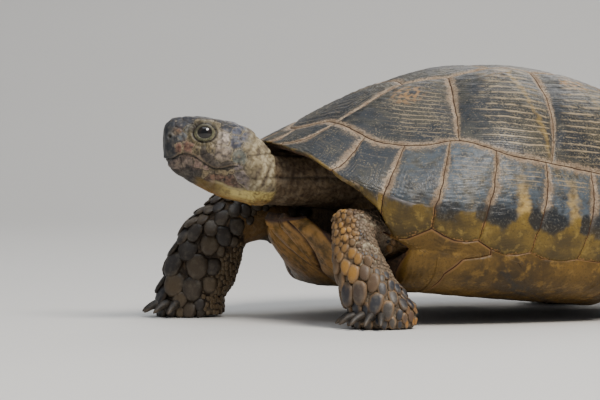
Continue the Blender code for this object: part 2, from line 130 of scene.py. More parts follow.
def plain_material(name, roughness, gloss=0.5):
    """A Principled material with its tree and its shader."""
    material = bpy.data.materials.new(name)
    material.use_nodes = True
    shader = material.node_tree.nodes["Principled BSDF"]
    shader.inputs["Roughness"].default_value = roughness
    shader.inputs["Specular IOR Level"].default_value = gloss
    return material, material.node_tree, shader


SWEEP_REACH = 2.6
SWEEP_BACK = 1.1
SWEEP_CURVE = 0.9
SWEEP_RUN = 6.0
floor_mesh = bmesh.new()
bmesh.ops.create_grid(floor_mesh, x_segments=2, y_segments=60, size=1)
for vert in floor_mesh.verts:
    run = (vert.co.y + 1) / 2 * SWEEP_RUN - SWEEP_RUN / 2
    bend = min(max((run - SWEEP_BACK) / SWEEP_CURVE, 0.0), math.pi / 2)
    straight = min(run, SWEEP_BACK)
    upward = max(run - SWEEP_BACK - SWEEP_CURVE * math.pi / 2, 0.0)
    back = straight + SWEEP_CURVE * math.sin(bend)
    height = SWEEP_CURVE * (1 - math.cos(bend)) + upward
    across = VIEW_RIGHT * (vert.co.x * SWEEP_REACH)
    away = Vector((-VIEW_RIGHT.y, VIEW_RIGHT.x, 0)) * back
    vert.co = across + away + Vector((0, 0, height))
for face in floor_mesh.faces:
    face.normal_update()
floor_mesh.faces.ensure_lookup_table()
if floor_mesh.faces[0].normal.z < 0:
    bmesh.ops.reverse_faces(floor_mesh, faces=floor_mesh.faces)
card, card_tree, card_shader = plain_material("white_card", 0.85)
card_grain = add(card_tree, "TexNoise", {"Scale": 12.0, "Detail": 2.0})
card_tone = add(card_tree, "ValToRGB", {"Fac": card_grain.outputs["Fac"]})
card_tone.color_ramp.elements[0].color = (0.60, 0.585, 0.56, 1)
card_tone.color_ramp.elements[1].color = (0.64, 0.625, 0.60, 1)
card_tree.links.new(card_tone.outputs["Color"], card_shader.inputs["Base Color"])
card_side = add(card_tree, "NewGeometry")
card_clear = add(card_tree, "BsdfTransparent")
card_mix = add(card_tree, "MixShader", {"Fac": card_side.outputs["Backfacing"]})
card_tree.links.new(card_shader.outputs["BSDF"], card_mix.inputs[1])
card_tree.links.new(card_clear.outputs["BSDF"], card_mix.inputs[2])
card_tree.links.new(card_mix.outputs["Shader"], card_tree.nodes["Material Output"].inputs["Surface"])
floor = piece_of("floor_sweep", floor_mesh, card)

world = bpy.data.worlds.new("soft_room")
world.use_nodes = True
world.node_tree.nodes["Background"].inputs["Color"].default_value = (0.86, 0.91, 1.0, 1)
world.node_tree.nodes["Background"].inputs["Strength"].default_value = 0.34
bpy.context.scene.world = world
# Each light: name, side in degrees from the camera's own, height in degrees, size, power, colour
LIGHTS = (
    ("key_light", 34, 50, 0.7, 36, (1.0, 0.95, 0.88)),
    ("sky_light", -40, 78, 1.4, 11, (0.84, 0.92, 1.0)),
    ("back_light", 165, 40, 1.0, 7, (1.0, 0.97, 0.92)),
)
for name, aside, height, size, power, colour in LIGHTS:
    lamp = bpy.data.lights.new(name, "AREA")
    lamp.shape = "DISK"
    lamp.size = size
    lamp.energy = power
    lamp.color = colour
    way = way_to(VIEW_AZIMUTH + math.radians(aside), math.radians(height))
    stand_at(bpy.data.objects.new(name, lamp), way * LIGHT_DISTANCE, way)

# ---------------------------------------------------------------- carapace: the bone under the plates
# The carapace is a dome of bone, standing upright at a keel along each side and tucked in below it. Only a
# dark line of it shows, in the cracks between the horn plates, and its wall shows from underneath.
SHELL_LENGTH = 0.225
SHELL_WIDTH = 0.165
SHELL_HEIGHT = 0.1095
APEX_X = 0.006
OUTLINE_POWER = 2.35
WALL_REACH = 0.090
TUCK = 150.0
BACK_FLATNESS = 0.8
FLAT_BACK = 0.5
NOSE_UP = math.radians(5.3)
BELLY_HEIGHT = 0.010
RIM_HEIGHTS = (
    (0.0, 0.0640), (20.0, 0.0602), (35.0, 0.0490), (43.0, 0.0400), (50.0, 0.0203), (54.0, 0.0200),
    (112.0, 0.0200), (136.0, 0.0290), (158.0, 0.0270), (180.0, 0.0235),
)
KEEL_HEIGHTS = (
    (0.0, 0.0640), (20.0, 0.0595), (38.0, 0.0470), (54.0, 0.0395), (75.0, 0.0375),
    (100.0, 0.0360), (120.0, 0.0340), (150.0, 0.0290), (180.0, 0.0235),
)
shell_axes = Matrix.Rotation(NOSE_UP, 3, "Y")
shell_place = STAND + Vector((0, 0, BELLY_HEIGHT))


def smooth_step(start, end, value):
    share = min(max((value - start) / (end - start), 0.0), 1.0)
    return share * share * (3 - 2 * share)


def mix(low, high, share):
    return low + (high - low) * share


def eased(points, value):
    """Reads a smooth curve through (place, height) points, level beyond its ends and never past a point."""
    rises = [(d - b) / (c - a) for (a, b), (c, d) in zip(points, points[1:])]
    slopes = [0.0]
    for before, after in zip(rises, rises[1:]):
        slopes.append(2 * before * after / (before + after) if before * after > 0 else 0.0)
    slopes.append(0.0)
    value = max(value, points[0][0])
    for index, ((a, low), (b, high)) in enumerate(zip(points, points[1:])):
        if value <= b:
            span = b - a
            t = (value - a) / span
            lean = slopes[index] * t * (1 - t) ** 2 - slopes[index + 1] * t * t * (1 - t)
            return mix(low, high, t * t * (3 - 2 * t)) + span * lean
    return points[-1][1]


def tabled(points):
    """The same curve, worked out once for every half degree of half a turn."""
    return [eased(points, step / 2) for step in range(361)]


def read(table, turn):
    place = abs(math.remainder(turn, math.tau)) * 360 / math.pi
    step = min(int(place), 359)
    return mix(table[step], table[step + 1], place - step)


def outline(turn):
    """The carapace's edge in plan at an angle round the body, 0 in front and pi behind."""
    ahead = math.cos(turn)
    aside = math.sin(turn)
    reach = SHELL_LENGTH / 2 + (APEX_X if ahead > 0 else -APEX_X)
    bulge = (abs(ahead) ** OUTLINE_POWER + abs(aside) ** OUTLINE_POWER) ** (-1 / OUTLINE_POWER)
    return Vector((-reach * ahead * bulge, SHELL_WIDTH / 2 * aside * bulge))


def dome_share(turn, rise):
    """How far up the dome a point is, from 0 at the keel to 1 at the top: sloping in front, full behind."""
    inward = 1 - math.cos(rise)
    front = math.sin(math.pi / 2 * inward**1.05)
    side = math.sin(rise)
    rear = (1 - (1 - inward) ** 2.2) ** (1 / 2.2)
    ahead = math.cos(turn)
    to_front = smooth_step(0.15, 1.0, ahead)
    to_rear = smooth_step(0.15, 1.0, -ahead)
    return to_front * front + to_rear * rear + (1 - to_front - to_rear) * side


def dome_point(turn, rise):
    """A point of the dome in the shell's frame: rise is 0 at the keel, pi/2 on top, negative on the tuck."""
    keel = read(KEELS, turn)
    if rise < 0:
        drop = -WALL_REACH * rise
        edge = outline(turn) * (1 - TUCK * drop * drop)
        return Vector((APEX_X + edge.x, edge.y, keel - drop))
    out = math.cos(rise)
    edge = outline(turn) * out
    ahead = math.cos(turn) * out
    aside = math.sin(turn) * out
    aside *= 1 - BACK_FLATNESS * (1 - smooth_step(0.0, FLAT_BACK, abs(aside))) * (1 - out**4)
    flattened = math.acos(min(math.hypot(ahead, aside), 1.0))
    height = keel + (SHELL_HEIGHT - keel) * dome_share(math.atan2(aside, ahead), flattened)
    return Vector((APEX_X + edge.x, edge.y, height))


def found_rim_rise(turn):
    low = -math.pi / 4
    high = math.pi / 4
    for _ in range(26):
        middle = (low + high) / 2
        if dome_point(turn, middle).z < read(RIMS, turn):
            low = middle
        else:
            high = middle
    return (low + high) / 2


KEELS = tabled(KEEL_HEIGHTS)
RIMS = tabled(RIM_HEIGHTS)
RIM_RISES = [found_rim_rise(step * math.pi / 360) for step in range(361)]


def standing(point):
    """Takes a point from the shell's frame to the standing animal."""
    return shell_axes @ Vector(point) + shell_place


def outward(turn, point, rise):
    """About the way out of the shell at a point, in its frame."""
    if rise <= 0:
        return Vector((point.x - APEX_X, point.y * 1.5, 0)).normalized()
    keel = read(KEELS, turn)
    tall = SHELL_HEIGHT - keel
    half = SHELL_LENGTH / 2
    wide = SHELL_WIDTH / 2
    return Vector((
        (point.x - APEX_X) / half**2, point.y / wide**2, (point.z - keel) / tall**2
    )).normalized()


LIP = 0.0018
MERGE = 0.00002


def shell_point(turn, rise, lift):
    """A point lifted off the dome, in the standing animal. Below the edge it runs round the lip, inside."""
    rim = read(RIM_RISES, turn)
    point = dome_point(turn, max(rise, rim))
    out = outward(turn, point, max(rise, rim))
    if rise >= rim:
        return standing(point + out * lift)
    run = (rim - rise) * WALL_REACH
    down = (point - dome_point(turn, rim + 0.02)).normalized()
    bend = min(run / LIP, math.pi)
    way = out * math.cos(bend) + down * math.sin(bend)
    inside = point - out * LIP + way * (LIP + lift) - down * max(run - LIP * math.pi, 0.0)
    return standing(inside)


def dome_of(turns, rises, sink):
    """The dome as one open sheet: a grid wrapped round, merged at its seam and at the top."""
    bm = bmesh.new()
    bmesh.ops.create_grid(bm, x_segments=turns, y_segments=rises, size=1)
    for vert in bm.verts:
        turn = vert.co.x * math.pi
        start = read(RIM_RISES, turn)
        rise = mix(start, math.pi / 2, (vert.co.y + 1) / 2)
        vert.co = shell_point(turn, rise, -sink)
    bmesh.ops.remove_doubles(bm, verts=bm.verts, dist=MERGE)
    bmesh.ops.recalc_face_normals(bm, faces=bm.faces)
    return bm


def clouds(tree, vector, scale, detail=3.0, roughness=0.55, distortion=0.0):
    made = add(
        tree, "TexNoise",
        {"Vector": vector, "Scale": scale, "Detail": detail, "Roughness": roughness,
         "Distortion": distortion},
    )
    return made.outputs["Fac"]


def add_relief(tree, shader, height, strength, distance):
    """Raises and sinks the surface a little by a height between 0 and 1."""
    relief = add(tree, "Bump", {"Height": height, "Strength": strength, "Distance": distance})
    tree.links.new(relief.outputs["Normal"], shader.inputs["Normal"])


BONE_SINK = 0.0009
BONE_WALL = 0.0028
bone, bone_tree, bone_shader = plain_material("bone_and_dirt", 0.85)
bone_grain = clouds(bone_tree, add(bone_tree, "TexCoord").outputs["Object"], 420.0, 4.0, 0.6)
bone_tone = add(bone_tree, "ValToRGB", {"Fac": bone_grain})
bone_tone.color_ramp.elements[0].position = 0.35
bone_tone.color_ramp.elements[0].color = (0.016, 0.009, 0.005, 1)
bone_tone.color_ramp.elements[1].position = 0.72
bone_tone.color_ramp.elements[1].color = (0.12, 0.062, 0.028, 1)
bone_tree.links.new(bone_tone.outputs["Color"], bone_shader.inputs["Base Color"])
add_relief(bone_tree, bone_shader, bone_grain, 0.5, 0.0004)

carapace_bone = piece_of("carapace_bone", dome_of(180, 36, BONE_SINK), bone)
bone_wall = carapace_bone.modifiers.new("wall", "SOLIDIFY")
bone_wall.thickness = BONE_WALL
bone_wall.offset = -1
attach(carapace_bone, "root")
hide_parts("carapace")

# ---------------------------------------------------------------- carapace: the horn plates
# Each plate of horn has grown outwards from a small old plate, so ridges run round it. They are cast one by
# one, dark slate rubbed pale along the ridges, dusty tan at their edges, and olive under the shell's keel. On
# the marginals a painted sheen, a painted blue-grey sky reflection, lies over the slate, brightest as a painted
# highlight along the keel.
PLATE_GAP = 0.00016
EDGE_DROP = 0.00050
EDGE_FALL = 0.0017
EDGE_DEPTH = 0.0016
noise.seed_set(1)  # the waver of the seams and of the head's plates is the same at every run
EDGE_START = 0.0016
EDGE_RINGS = (0.00125, 0.0009, 0.0006, 0.00035, 0.00015, 0.0)
FLAT_EDGE = 0.0030
SHORT_REACH = 0.004
PLATE_MERGE = 0.000004
UNDER_LIP = 0.0096
UNDER_RISE = math.degrees(UNDER_LIP / WALL_REACH)
# What a plate's points carry is scaled to about 1: the count of ridges, and the distance from the edge
GROWTH_SCALE = 20
EDGE_SCALE = 0.02
# Marginal plates, in degrees round the shell: half the neck plate, then three groups of even width
NECK_PLATE = 4.0
EDGE_WIDTHS = [13.5] * 3 + [13.0] * 4 + [18.0] * 4
SEAM_TOPS = [NECK_PLATE + sum(EDGE_WIDTHS[:number]) for number in range(12)]
SEAM_STEPS = 4
SEAM_BOW = 1.2
FRONT_LEAN = 8.0
REAR_LEAN = 3.0
# The rise of the seam above them, low at the neck, and of the bridge's edge below them
TOP_SEAM = ((0, 27), (15, 36), (56, 36), (78, 23), (180, 15))
BRIDGE_EDGE = ((44, -11), (57, -6), (75, -9), (108, -10))
BRIDGE_SAG = 2.0
BRIDGE_END = 107.0
# The row along the back, in plan as shares of the shell: where it is crossed, and half its width
CROSS_SEAMS = (-0.46, -0.12, 0.20, 0.50)
ROW_ENDS = (-0.74, 0.84)
ROW_HALVES = ((-0.74, 0.27), (-0.46, 0.18), (0.10, 0.30), (0.50, 0.22), (0.84, 0.44))
ROW_STOPS = (ROW_ENDS[0],) + CROSS_SEAMS + (ROW_ENDS[1],)
ROW_STEPS = 4
CORNER_OUT = 0.035
CROSS_BOW = 0.015
SIDE_BOW = 0.015
SIDE_ENDS = (SEAM_TOPS[1], 60.0, 85.0, 118.0, 152.0)
SIDE_CENTRES = ((-0.48, 0.29), (-0.13, 0.36), (0.20, 0.42), (0.54, 0.42))
OLDEST_SHARE = 0.58
BACK_WORN = (0.4, 0.4, 0.35, 0.14, 0.4)
# Each side plate, from the front: the height between its growth lines, how worn, streaked and spotted it is
SIDE_WEAR = (
    (0.0019, 0.75, 0.0, 1.0), (0.0029, 1.0, 0.7, 0.3), (0.0029, 1.0, 0.35, 0.9), (0.0026, 0.8, 0.2, 0.5),
)
# Each marginal plate, from the neck: how worn it is, its painted keel highlight, its streak, its blotch, its
# painted sheen
EDGE_WEAR_AND_SHEEN = (
    (0.1, 0, 0, 0, 0.1), (0.15, 0, 0, 0, 0.1), (0.2, 0, 0, 0, 0.15), (0.1, 0.9, 0.1, 0.35, 0.6),
    (0.5, 0.15, 0.15, 0.85, 1.0), (0.9, 0, 1.0, 1.0, 0.8), (0.9, 0, 0.75, 1.0, 0.9), (0.6, 0, 0.5, 0.9, 0.7),
    (0.6, 0, 0.5, 0.9, 0.5), (0.6, 0, 0.6, 0.8, 0.4), (0.5, 0, 0.5, 0.8, 0.3),
)


def on_dome(turn, rise):
    """A direction from the middle of the shell, from degrees of turn and rise."""
    turn = math.radians(turn)
    rise = math.radians(rise)
    return Vector((-math.cos(turn) * math.cos(rise), math.sin(turn) * math.cos(rise), math.sin(rise)))


def in_plan(x, y):
    return Vector((x, y, math.sqrt(max(1 - x * x - y * y, 0.0))))


def rim_degrees(turn):
    return math.degrees(read(RIM_RISES, math.radians(turn)))


def turns_between(first, last):
    """Turns from one to another, in degrees, every two degrees or so."""
    steps = max(2, round(abs(last - first) / 2))
    return [mix(first, last, step / steps) for step in range(steps + 1)]


def top_run(first, last):
    """The top seam between two turns."""
    turns = turns_between(first, last)
    return [on_dome(turn, eased(TOP_SEAM, abs((turn + 180) % 360 - 180))) for turn in turns]


def under_run(first, last):
    """The hidden edge of a marginal plate, inside the lip."""
    return [on_dome(turn, rim_degrees(turn) - UNDER_RISE) for turn in turns_between(first, last)]


def seam_foot(number):
    """The turn at the foot of a marginal seam: those beside the neck lean most, and those behind a little."""
    turn = SEAM_TOPS[number]
    beside_neck = smooth_step(4, 17, turn) * smooth_step(31, 17, turn)
    return turn - FRONT_LEAN * beside_neck - REAR_LEAN * smooth_step(50, 75, turn)


SEAM_FEET = [seam_foot(number) for number in range(12)]


def seam_down(number, side):
    """A marginal seam as directions from its top to the bridge, or round the shell's edge."""
    foot = SEAM_FEET[number]
    over_bridge = 3 <= number <= 7
    high = eased(TOP_SEAM, SEAM_TOPS[number])
    low = eased(BRIDGE_EDGE, foot) if over_bridge else rim_degrees(foot) + 0.5
    points = []
    for step in range(SEAM_STEPS + 1):
        share = step / SEAM_STEPS
        turn = mix(SEAM_TOPS[number], foot, share) + SEAM_BOW * math.sin(math.pi * share)
        points.append(on_dome(side * turn, mix(high, low, share)))
    if not over_bridge:
        points.append(on_dome(side * foot, rim_degrees(foot) - UNDER_RISE))
    return points


def bridge_run(number):
    """The foot of a marginal plate over the bridge, as turns and rises: each hangs a little in its middle."""
    last = min(SEAM_FEET[number], BRIDGE_END)
    run = []
    for step in range(SEAM_STEPS + 1):
        share = step / SEAM_STEPS
        turn = mix(SEAM_FEET[number - 1], last, share)
        sag = BRIDGE_SAG * math.sin(math.pi * share) if number < 8 else 0.0
        run.append((turn, eased(BRIDGE_EDGE, turn) - sag))
    return run


def row_line(side):
    """Directions along one side of the back's middle row, whose corners stand out between its cross seams."""
    points = []
    for start, end in zip(ROW_STOPS, ROW_STOPS[1:]):
        for step in range(ROW_STEPS):
            share = step / ROW_STEPS
            x = mix(start, end, share)
            inner = start in CROSS_SEAMS and end in CROSS_SEAMS
            out = CORNER_OUT * (1 - 2 * abs(2 * share - 1)) if inner else -CORNER_OUT
            points.append(in_plan(x, side * (eased(ROW_HALVES, x) + out)))
    points[0] = top_run(side * SIDE_ENDS[0], side * SIDE_ENDS[1])[0]
    points.append(top_run(side * SIDE_ENDS[3], side * SIDE_ENDS[4])[-1])
    return points


def row_corner(number):
    """The place in the row's line at which the seam behind a side plate starts."""
    return ROW_STEPS * (number + 1) + ROW_STEPS // 2


def side_seam(number, side):
    """The seam behind a side plate, from the row's corner down, without its foot."""
    corner = row_line(side)[row_corner(number)]
    foot = top_run(side * SIDE_ENDS[number + 1], side * SIDE_ENDS[number + 2])[0]
    points = []
    for share in (0, 1 / 3, 2 / 3):
        points.append(corner.lerp(foot, share) + Vector((SIDE_BOW * math.sin(math.pi * share), 0, 0)))
    return points


def sampled(corners, count):
    """Points along a closed outline, close to evenly spaced, that keep every corner."""
    edges = list(zip(corners, corners[1:] + corners[:1]))
    total = sum((b - a).length for a, b in edges)
    points = []
    for a, b in edges:
        steps = max(1, round((b - a).length / total * count))
        points += [a.lerp(b, step / steps) for step in range(steps)]
    return points


def wavering(point):
    """Shifts a point of a seam a little, the same for both plates that meet there."""
    shift = noise.noise_vector(point * 16) * 0.0035 + noise.noise_vector(point * 60) * 0.0022
    return (point.normalized() + shift).normalized() * point.length


def lie_of(direction):
    """The turn and the rise of a direction."""
    direction = direction.normalized()
    return math.atan2(direction.y, -direction.x), math.asin(min(max(direction.z, -1), 1))


class Plate:
    """One plate: its outline and oldest point as directions, how it has grown and worn, its painted sheen and
    highlight.
    """

    turns = None
    lines = None
    ridge_depth = 0.00014
    streak = 0.0
    blotch = 0.0
    sheen = 0.0
    keel_highlight = 0.0
    spots = 0.0

    def __init__(self, corners, centre, seed, **looks):
        self.corners = corners
        self.centre = centre
        self.seed = seed
        for name, value in looks.items():
            setattr(self, name, value)


def plate_rings(bm, reaches, rings):
    """Lays a plate's points in rings from its oldest point to its edge, and merges them at the end.

    Gives for each point its spot on the outline, its share of the way out, how far it is from the edge, and
    whether it is on the last ring, which sinks into the crack.
    """
    count = len(reaches)
    last = rings + len(EDGE_RINGS)
    made = bmesh.ops.create_grid(bm, x_segments=count, y_segments=last, size=1)["verts"]
    for vert in made:
        spot = round((vert.co.x + 1) / 2 * count) % count
        ring = round((vert.co.y + 1) / 2 * last)
        reach = max(reaches[spot], SHORT_REACH)
        if ring < rings:
            share = ring / rings * (1 - EDGE_START / reach)
        else:
            share = 1 - EDGE_RINGS[min(ring - rings, len(EDGE_RINGS) - 1)] / reach
        share *= 1 - PLATE_GAP / reach
        yield vert, spot, share, (1 - share) * reach, ring == last
    bmesh.ops.remove_doubles(bm, verts=made, dist=PLATE_MERGE)


def set_plate(bm, layers, plate, around, rings):
    """Adds one plate to the mesh, with its ridges, and what its points carry for the paint."""
    rim_points = [wavering(point) for point in sampled(plate.corners, around)]
    middle = shell_point(*lie_of(plate.centre), 0)
    reaches = [(shell_point(*lie_of(point), 0) - middle).length for point in rim_points]
    for vert, spot, share, to_edge, sunk in plate_rings(bm, reaches, rings):
        direction = plate.centre.lerp(rim_points[spot], share)
        turn, rise = lie_of(direction)
        wobble = noise.noise(direction * 5 + Vector((plate.seed, 0, 0)))
        level_place = shell_point(turn, rise, 0)
        if plate.lines:
            grown = (level_place.z + 0.10 * level_place.x) / plate.lines + 0.45 * wobble
        else:
            grown = share**0.9 * plate.ridges + 0.5 * wobble
        crest = 0.5 + 0.5 * math.cos(math.tau * grown)
        body = smooth_step(0.0, FLAT_EDGE, to_edge)
        lift = plate.swell * (1 - share * share) * body
        lift -= EDGE_DROP * (1 - smooth_step(0.0, EDGE_FALL, to_edge))
        lift += plate.ridge_depth * (crest - 0.5) * body * smooth_step(0.10, 0.25, share)
        lift += 0.00022 * noise.noise(direction * 34) * body
        if sunk:
            lift -= EDGE_DEPTH
        vert.co = shell_point(turn, rise, lift)
        sideways = direction - plate.centre
        level = abs(sideways.x) / max(sideways.length, 0.001)
        vert[layers["growth"]] = (grown / GROWTH_SCALE, min(to_edge / EDGE_SCALE, 1.0), 0, 1)
        if plate.lines:
            forward = -sideways.x / max(sideways.length, 0.001) * share
            if plate.turns:
                worn = plate.worn * smooth_step(10, 15, math.degrees(rise))
            else:
                worn = plate.worn * smooth_step(0.42, 0.10, forward) * smooth_step(0.20, -0.05, sideways.z)
            worn *= smooth_step(0.0016, 0.0040, to_edge)
        else:
            worn = plate.worn * (1 - 0.75 * smooth_step(0.5, 0.95, level)) * smooth_step(0.12, 0.4, share)
        # The rubbed lines, the painted sheen (a painted sky reflection), and the painted keel highlight or the
        # orange spots
        vert[layers["wear_and_sheen"]] = (worn, plate.sheen, bright_mark(plate, turn, rise, sideways), 1)
        vert[layers["stain"]] = stains(plate, math.degrees(abs(turn)), math.degrees(rise), direction)


def stains(plate, turn, rise, direction):
    """The olive, the dark blotch and the yellow streak at a point of a plate, each from 0 to 1."""
    if not plate.turns:
        beside = abs(direction.x - plate.centre.x - 0.045 + 0.02 * noise.noise(direction * 20))
        streak = plate.streak * smooth_step(0.014, 0.003, beside) * smooth_step(0.24, 0.5, direction.z)
        return (0.0, 0.0, 0.6 * streak, 1)
    first, last = plate.turns
    along = (turn - first) / (last - first)
    ragged = noise.noise(direction * 22) + 0.5 * noise.noise(direction * 60)
    rim = rim_degrees(turn)
    if turn < 44:
        border = rim + 1.6 * smooth_step(34, 42, turn)
    else:
        border = -0.6 + 3.6 * smooth_step(0.45, 0.80, along) * min(plate.streak + 0.4, 1.0)
    olive = smooth_step(1.2, -1.2, rise - border - 1.6 * ragged)
    spot = math.hypot((along - 0.26) / 0.30, (rise - 0.6) / 3.8)
    dark = plate.blotch * smooth_step(1.25, 0.80, spot + 0.35 * ragged)
    corner = math.hypot((along - 0.97) / 0.14, (rise - 0.5) / 3.4)
    dark = max(dark, plate.blotch * smooth_step(1.2, 0.8, corner + 0.4 * ragged))
    lean = along + 0.006 * (rise - 6)
    streak = smooth_step(0.17, 0.03, abs(lean - 0.70) + 0.10 * ragged) * smooth_step(21, 3, rise + 4 * ragged)
    return (olive, dark, plate.streak * streak, 1)


def bright_mark(plate, turn, rise, sideways):
    """A painted highlight along a keel, or the orange spots on an old plate's middle, from 0 to 1."""
    if plate.keel_highlight:
        above = math.degrees(rise) + 0.4 - 1.5 * noise.noise(Vector((turn * 9, plate.seed, 0)))
        return plate.keel_highlight * smooth_step(1.5, 0.5, abs(above - 0.9))
    if plate.spots:
        spotted = noise.noise(sideways * 60 + Vector((plate.seed, 0, 0)))
        return plate.spots * smooth_step(0.10, 0.04, sideways.length) * smooth_step(-0.05, 0.25, spotted)
    return 0.0


def back_plates():
    """The five plates down the middle of the back."""
    plates = []
    for number in range(5):
        first = ROW_STEPS * number
        right = row_line(1)[first:first + ROW_STEPS + 1]
        left = list(reversed(row_line(-1)[first:first + ROW_STEPS + 1]))
        start, end = ROW_STOPS[number:number + 2]
        front = [in_plan(start + CROSS_BOW, 0)]
        rear = [in_plan(end + CROSS_BOW, 0)]
        if number == 0:
            front = top_run(-SIDE_ENDS[0], SIDE_ENDS[0])[1:-1]
        if number == 4:
            rear = top_run(SIDE_ENDS[4], 360 - SIDE_ENDS[4])[1:-1]
        centre = in_plan(mix(start, end, OLDEST_SHARE), 0)
        plates.append(Plate(
            front + right + rear + left, centre, 3 + number, ridges=8.0, swell=0.0010, worn=BACK_WORN[number]
        ))
    return plates


def side_plates(side):
    """The four big plates down one side."""
    line = row_line(side)
    plates = []
    for number, (lines, worn, streak, spots) in enumerate(SIDE_WEAR):
        front = row_corner(number - 1) if number else 0
        rear = row_corner(number) if number < 3 else len(line) - 1
        corners = top_run(side * SIDE_ENDS[number], side * SIDE_ENDS[number + 1])
        if number < 3:
            corners += reversed(side_seam(number, side))
        corners += reversed(line[front + 1:rear])
        if number:
            corners += side_seam(number - 1, side)
        x, y = SIDE_CENTRES[number]
        plates.append(Plate(
            corners, in_plan(x, side * y), 11 + number + 5 * side, lines=lines, ridge_depth=0.00016,
            swell=0.0012, worn=worn, streak=streak, spots=spots,
        ))
    return plates


def edge_plates(side):
    """The eleven marginal plates of one side."""
    plates = []
    for number, (worn, keel_highlight, streak, blotch, sheen) in enumerate(EDGE_WEAR_AND_SHEEN, 1):
        first, last = SEAM_FEET[number - 1:number + 1]
        top_turns = SEAM_TOPS[number - 1:number + 1]
        low = under_run(side * first, side * last)
        if 4 <= number <= 8:
            low = [on_dome(side * turn, rise) for turn, rise in bridge_run(number)]
        if number == 8:
            low += under_run(side * (BRIDGE_END + 1), side * last)
        top = top_run(side * top_turns[1], side * top_turns[0])
        rear_seam = list(reversed(seam_down(number, side)))
        corners = seam_down(number - 1, side) + low[1:-1] + rear_seam + top[1:-1]
        turn = mix(mix(*top_turns, 0.5), mix(first, last, 0.5), 0.5) + (1.5 if number > 3 else 0.0)
        rise = 8.5 if number > 3 else 12.0
        plates.append(Plate(
            corners, on_dome(side * turn, rise), 21 + number + 13 * side, ridges=7.0, ridge_depth=0.00008,
            swell=0.0007, lines=0.0021 if number > 4 else None, worn=worn, keel_highlight=keel_highlight, streak=streak,
            blotch=blotch, sheen=sheen, turns=(mix(first, top_turns[0], 0.3), mix(last, top_turns[1], 0.3)),
        ))
    return plates


def end_plates():
    """The small plate over the neck and the wide one over the tail."""
    neck_under = under_run(-SEAM_FEET[0], SEAM_FEET[0])[1:-1]
    nuchal = seam_down(0, -1) + neck_under + list(reversed(seam_down(0, 1)))
    nuchal += top_run(SEAM_TOPS[0], -SEAM_TOPS[0])[1:-1]
    tail_under = under_run(SEAM_FEET[11], 360 - SEAM_FEET[11])[1:-1]
    over_tail = seam_down(11, 1) + tail_under + list(reversed(seam_down(11, -1)))
    over_tail += top_run(360 - SEAM_TOPS[11], SEAM_TOPS[11])[1:-1]
    return [
        Plate(nuchal, on_dome(0, 12), 41, ridges=4.0, swell=0.0008, turns=(-5, 5), worn=0.2),
        Plate(over_tail, on_dome(180, 4), 42, ridges=8.0, swell=0.0008, turns=(168, 200), worn=0.4,
              streak=0.5, blotch=0.8, sheen=0.3),
    ]


def join_into(target, bm):
    """Moves one bmesh's shape into another."""
    holder = bpy.data.meshes.new("part")
    bm.to_mesh(holder)
    bm.free()
    target.from_mesh(holder)
    bpy.data.meshes.remove(holder)


def group_of(name, inputs, outputs):
    """An empty shader group with its sockets: each input a name, a kind and a starting value."""
    group = bpy.data.node_groups.new(name, "ShaderNodeTree")
    for label, kind, value in inputs:
        socket = group.interface.new_socket(name=label, in_out="INPUT", socket_type="NodeSocket" + kind)
        if value is not None:
            socket.default_value = value
    for label, kind in outputs:
        group.interface.new_socket(name=label, in_out="OUTPUT", socket_type="NodeSocket" + kind)
    return group, group.nodes.new("NodeGroupInput"), group.nodes.new("NodeGroupOutput")


def ramp(tree, value, low, high, out_low=0.0, out_high=1.0):
    """A soft step of a value from low to high; low may be the higher of the two."""
    if low > high:
        low, high, out_low, out_high = high, low, out_high, out_low
    made = add(
        tree, "MapRange",
        {"Value": value, "From Min": low, "From Max": high, "To Min": out_low, "To Max": out_high},
        interpolation_type="SMOOTHSTEP",
    )
    return made.outputs["Result"]


def maths(tree, operation, first, second=0.0):
    made = add(tree, "Math", operation=operation)
    feed(tree, first, made.inputs[0])
    feed(tree, second, made.inputs[1])
    return made.outputs[0]


def times(tree, first, second):
    return maths(tree, "MULTIPLY", first, second)


def plus(tree, first, second):
    return maths(tree, "ADD", first, second)


def around_zero(tree, value):
    """A value between 0 and 1 as one between -0.5 and 0.5."""
    return maths(tree, "SUBTRACT", value, 0.5)


def paint(tree, share, under, over):
    """Lays one colour over another by a mask."""
    made = add(tree, "Mix", data_type="RGBA")
    feed(tree, share, made.inputs[0])
    for index, value in ((6, under), (7, over)):
        feed(tree, (*value, 1) if isinstance(value, tuple) else value, made.inputs[index])
    return made.outputs[2]


def carried(tree, name):
    """The three numbers that a piece's points carry under a name."""
    reader = add(tree, "Attribute", attribute_name=name)
    return add(tree, "SeparateColor", {"Color": reader.outputs["Color"]}).outputs[0:3]


def speckle(tree, vector, scale, amount, detail=2.0):
    """The Dust Flecks group, placed with its own values."""
    made = add(
        tree, "Group", {"Vector": vector, "Scale": scale, "Detail": detail, "Amount": amount},
        node_tree=dust_flecks,
    )
    return made.outputs["Flecks"]


# Fine flecks whose density comes and goes: Amount 0 leaves none and 1 covers most of the surface.
dust_flecks, flecks_in, flecks_out = group_of(
    "Dust Flecks",
    (("Vector", "Vector", None), ("Scale", "Float", 1500.0), ("Detail", "Float", 2.0),
     ("Amount", "Float", 0.5)),
    (("Flecks", "Float"),),
)
flecks_fine = add(
    dust_flecks, "TexNoise",
    {"Vector": flecks_in.outputs["Vector"], "Scale": flecks_in.outputs["Scale"],
     "Detail": flecks_in.outputs["Detail"], "Roughness": 0.6},
)
flecks_wide = add(
    dust_flecks, "TexNoise",
    {"Vector": flecks_in.outputs["Vector"], "Scale": 130.0, "Detail": 2.0, "Roughness": 0.5},
)
flecks_share = times(dust_flecks, flecks_wide.outputs["Fac"], 0.25)
flecks_level = times(dust_flecks, flecks_in.outputs["Amount"], 0.30)
flecks_sum = plus(dust_flecks, flecks_fine.outputs["Fac"], flecks_share)
flecks_total = plus(dust_flecks, flecks_sum, flecks_level)
dust_flecks.links.new(ramp(dust_flecks, flecks_total, 0.80, 0.90), flecks_out.inputs["Flecks"])


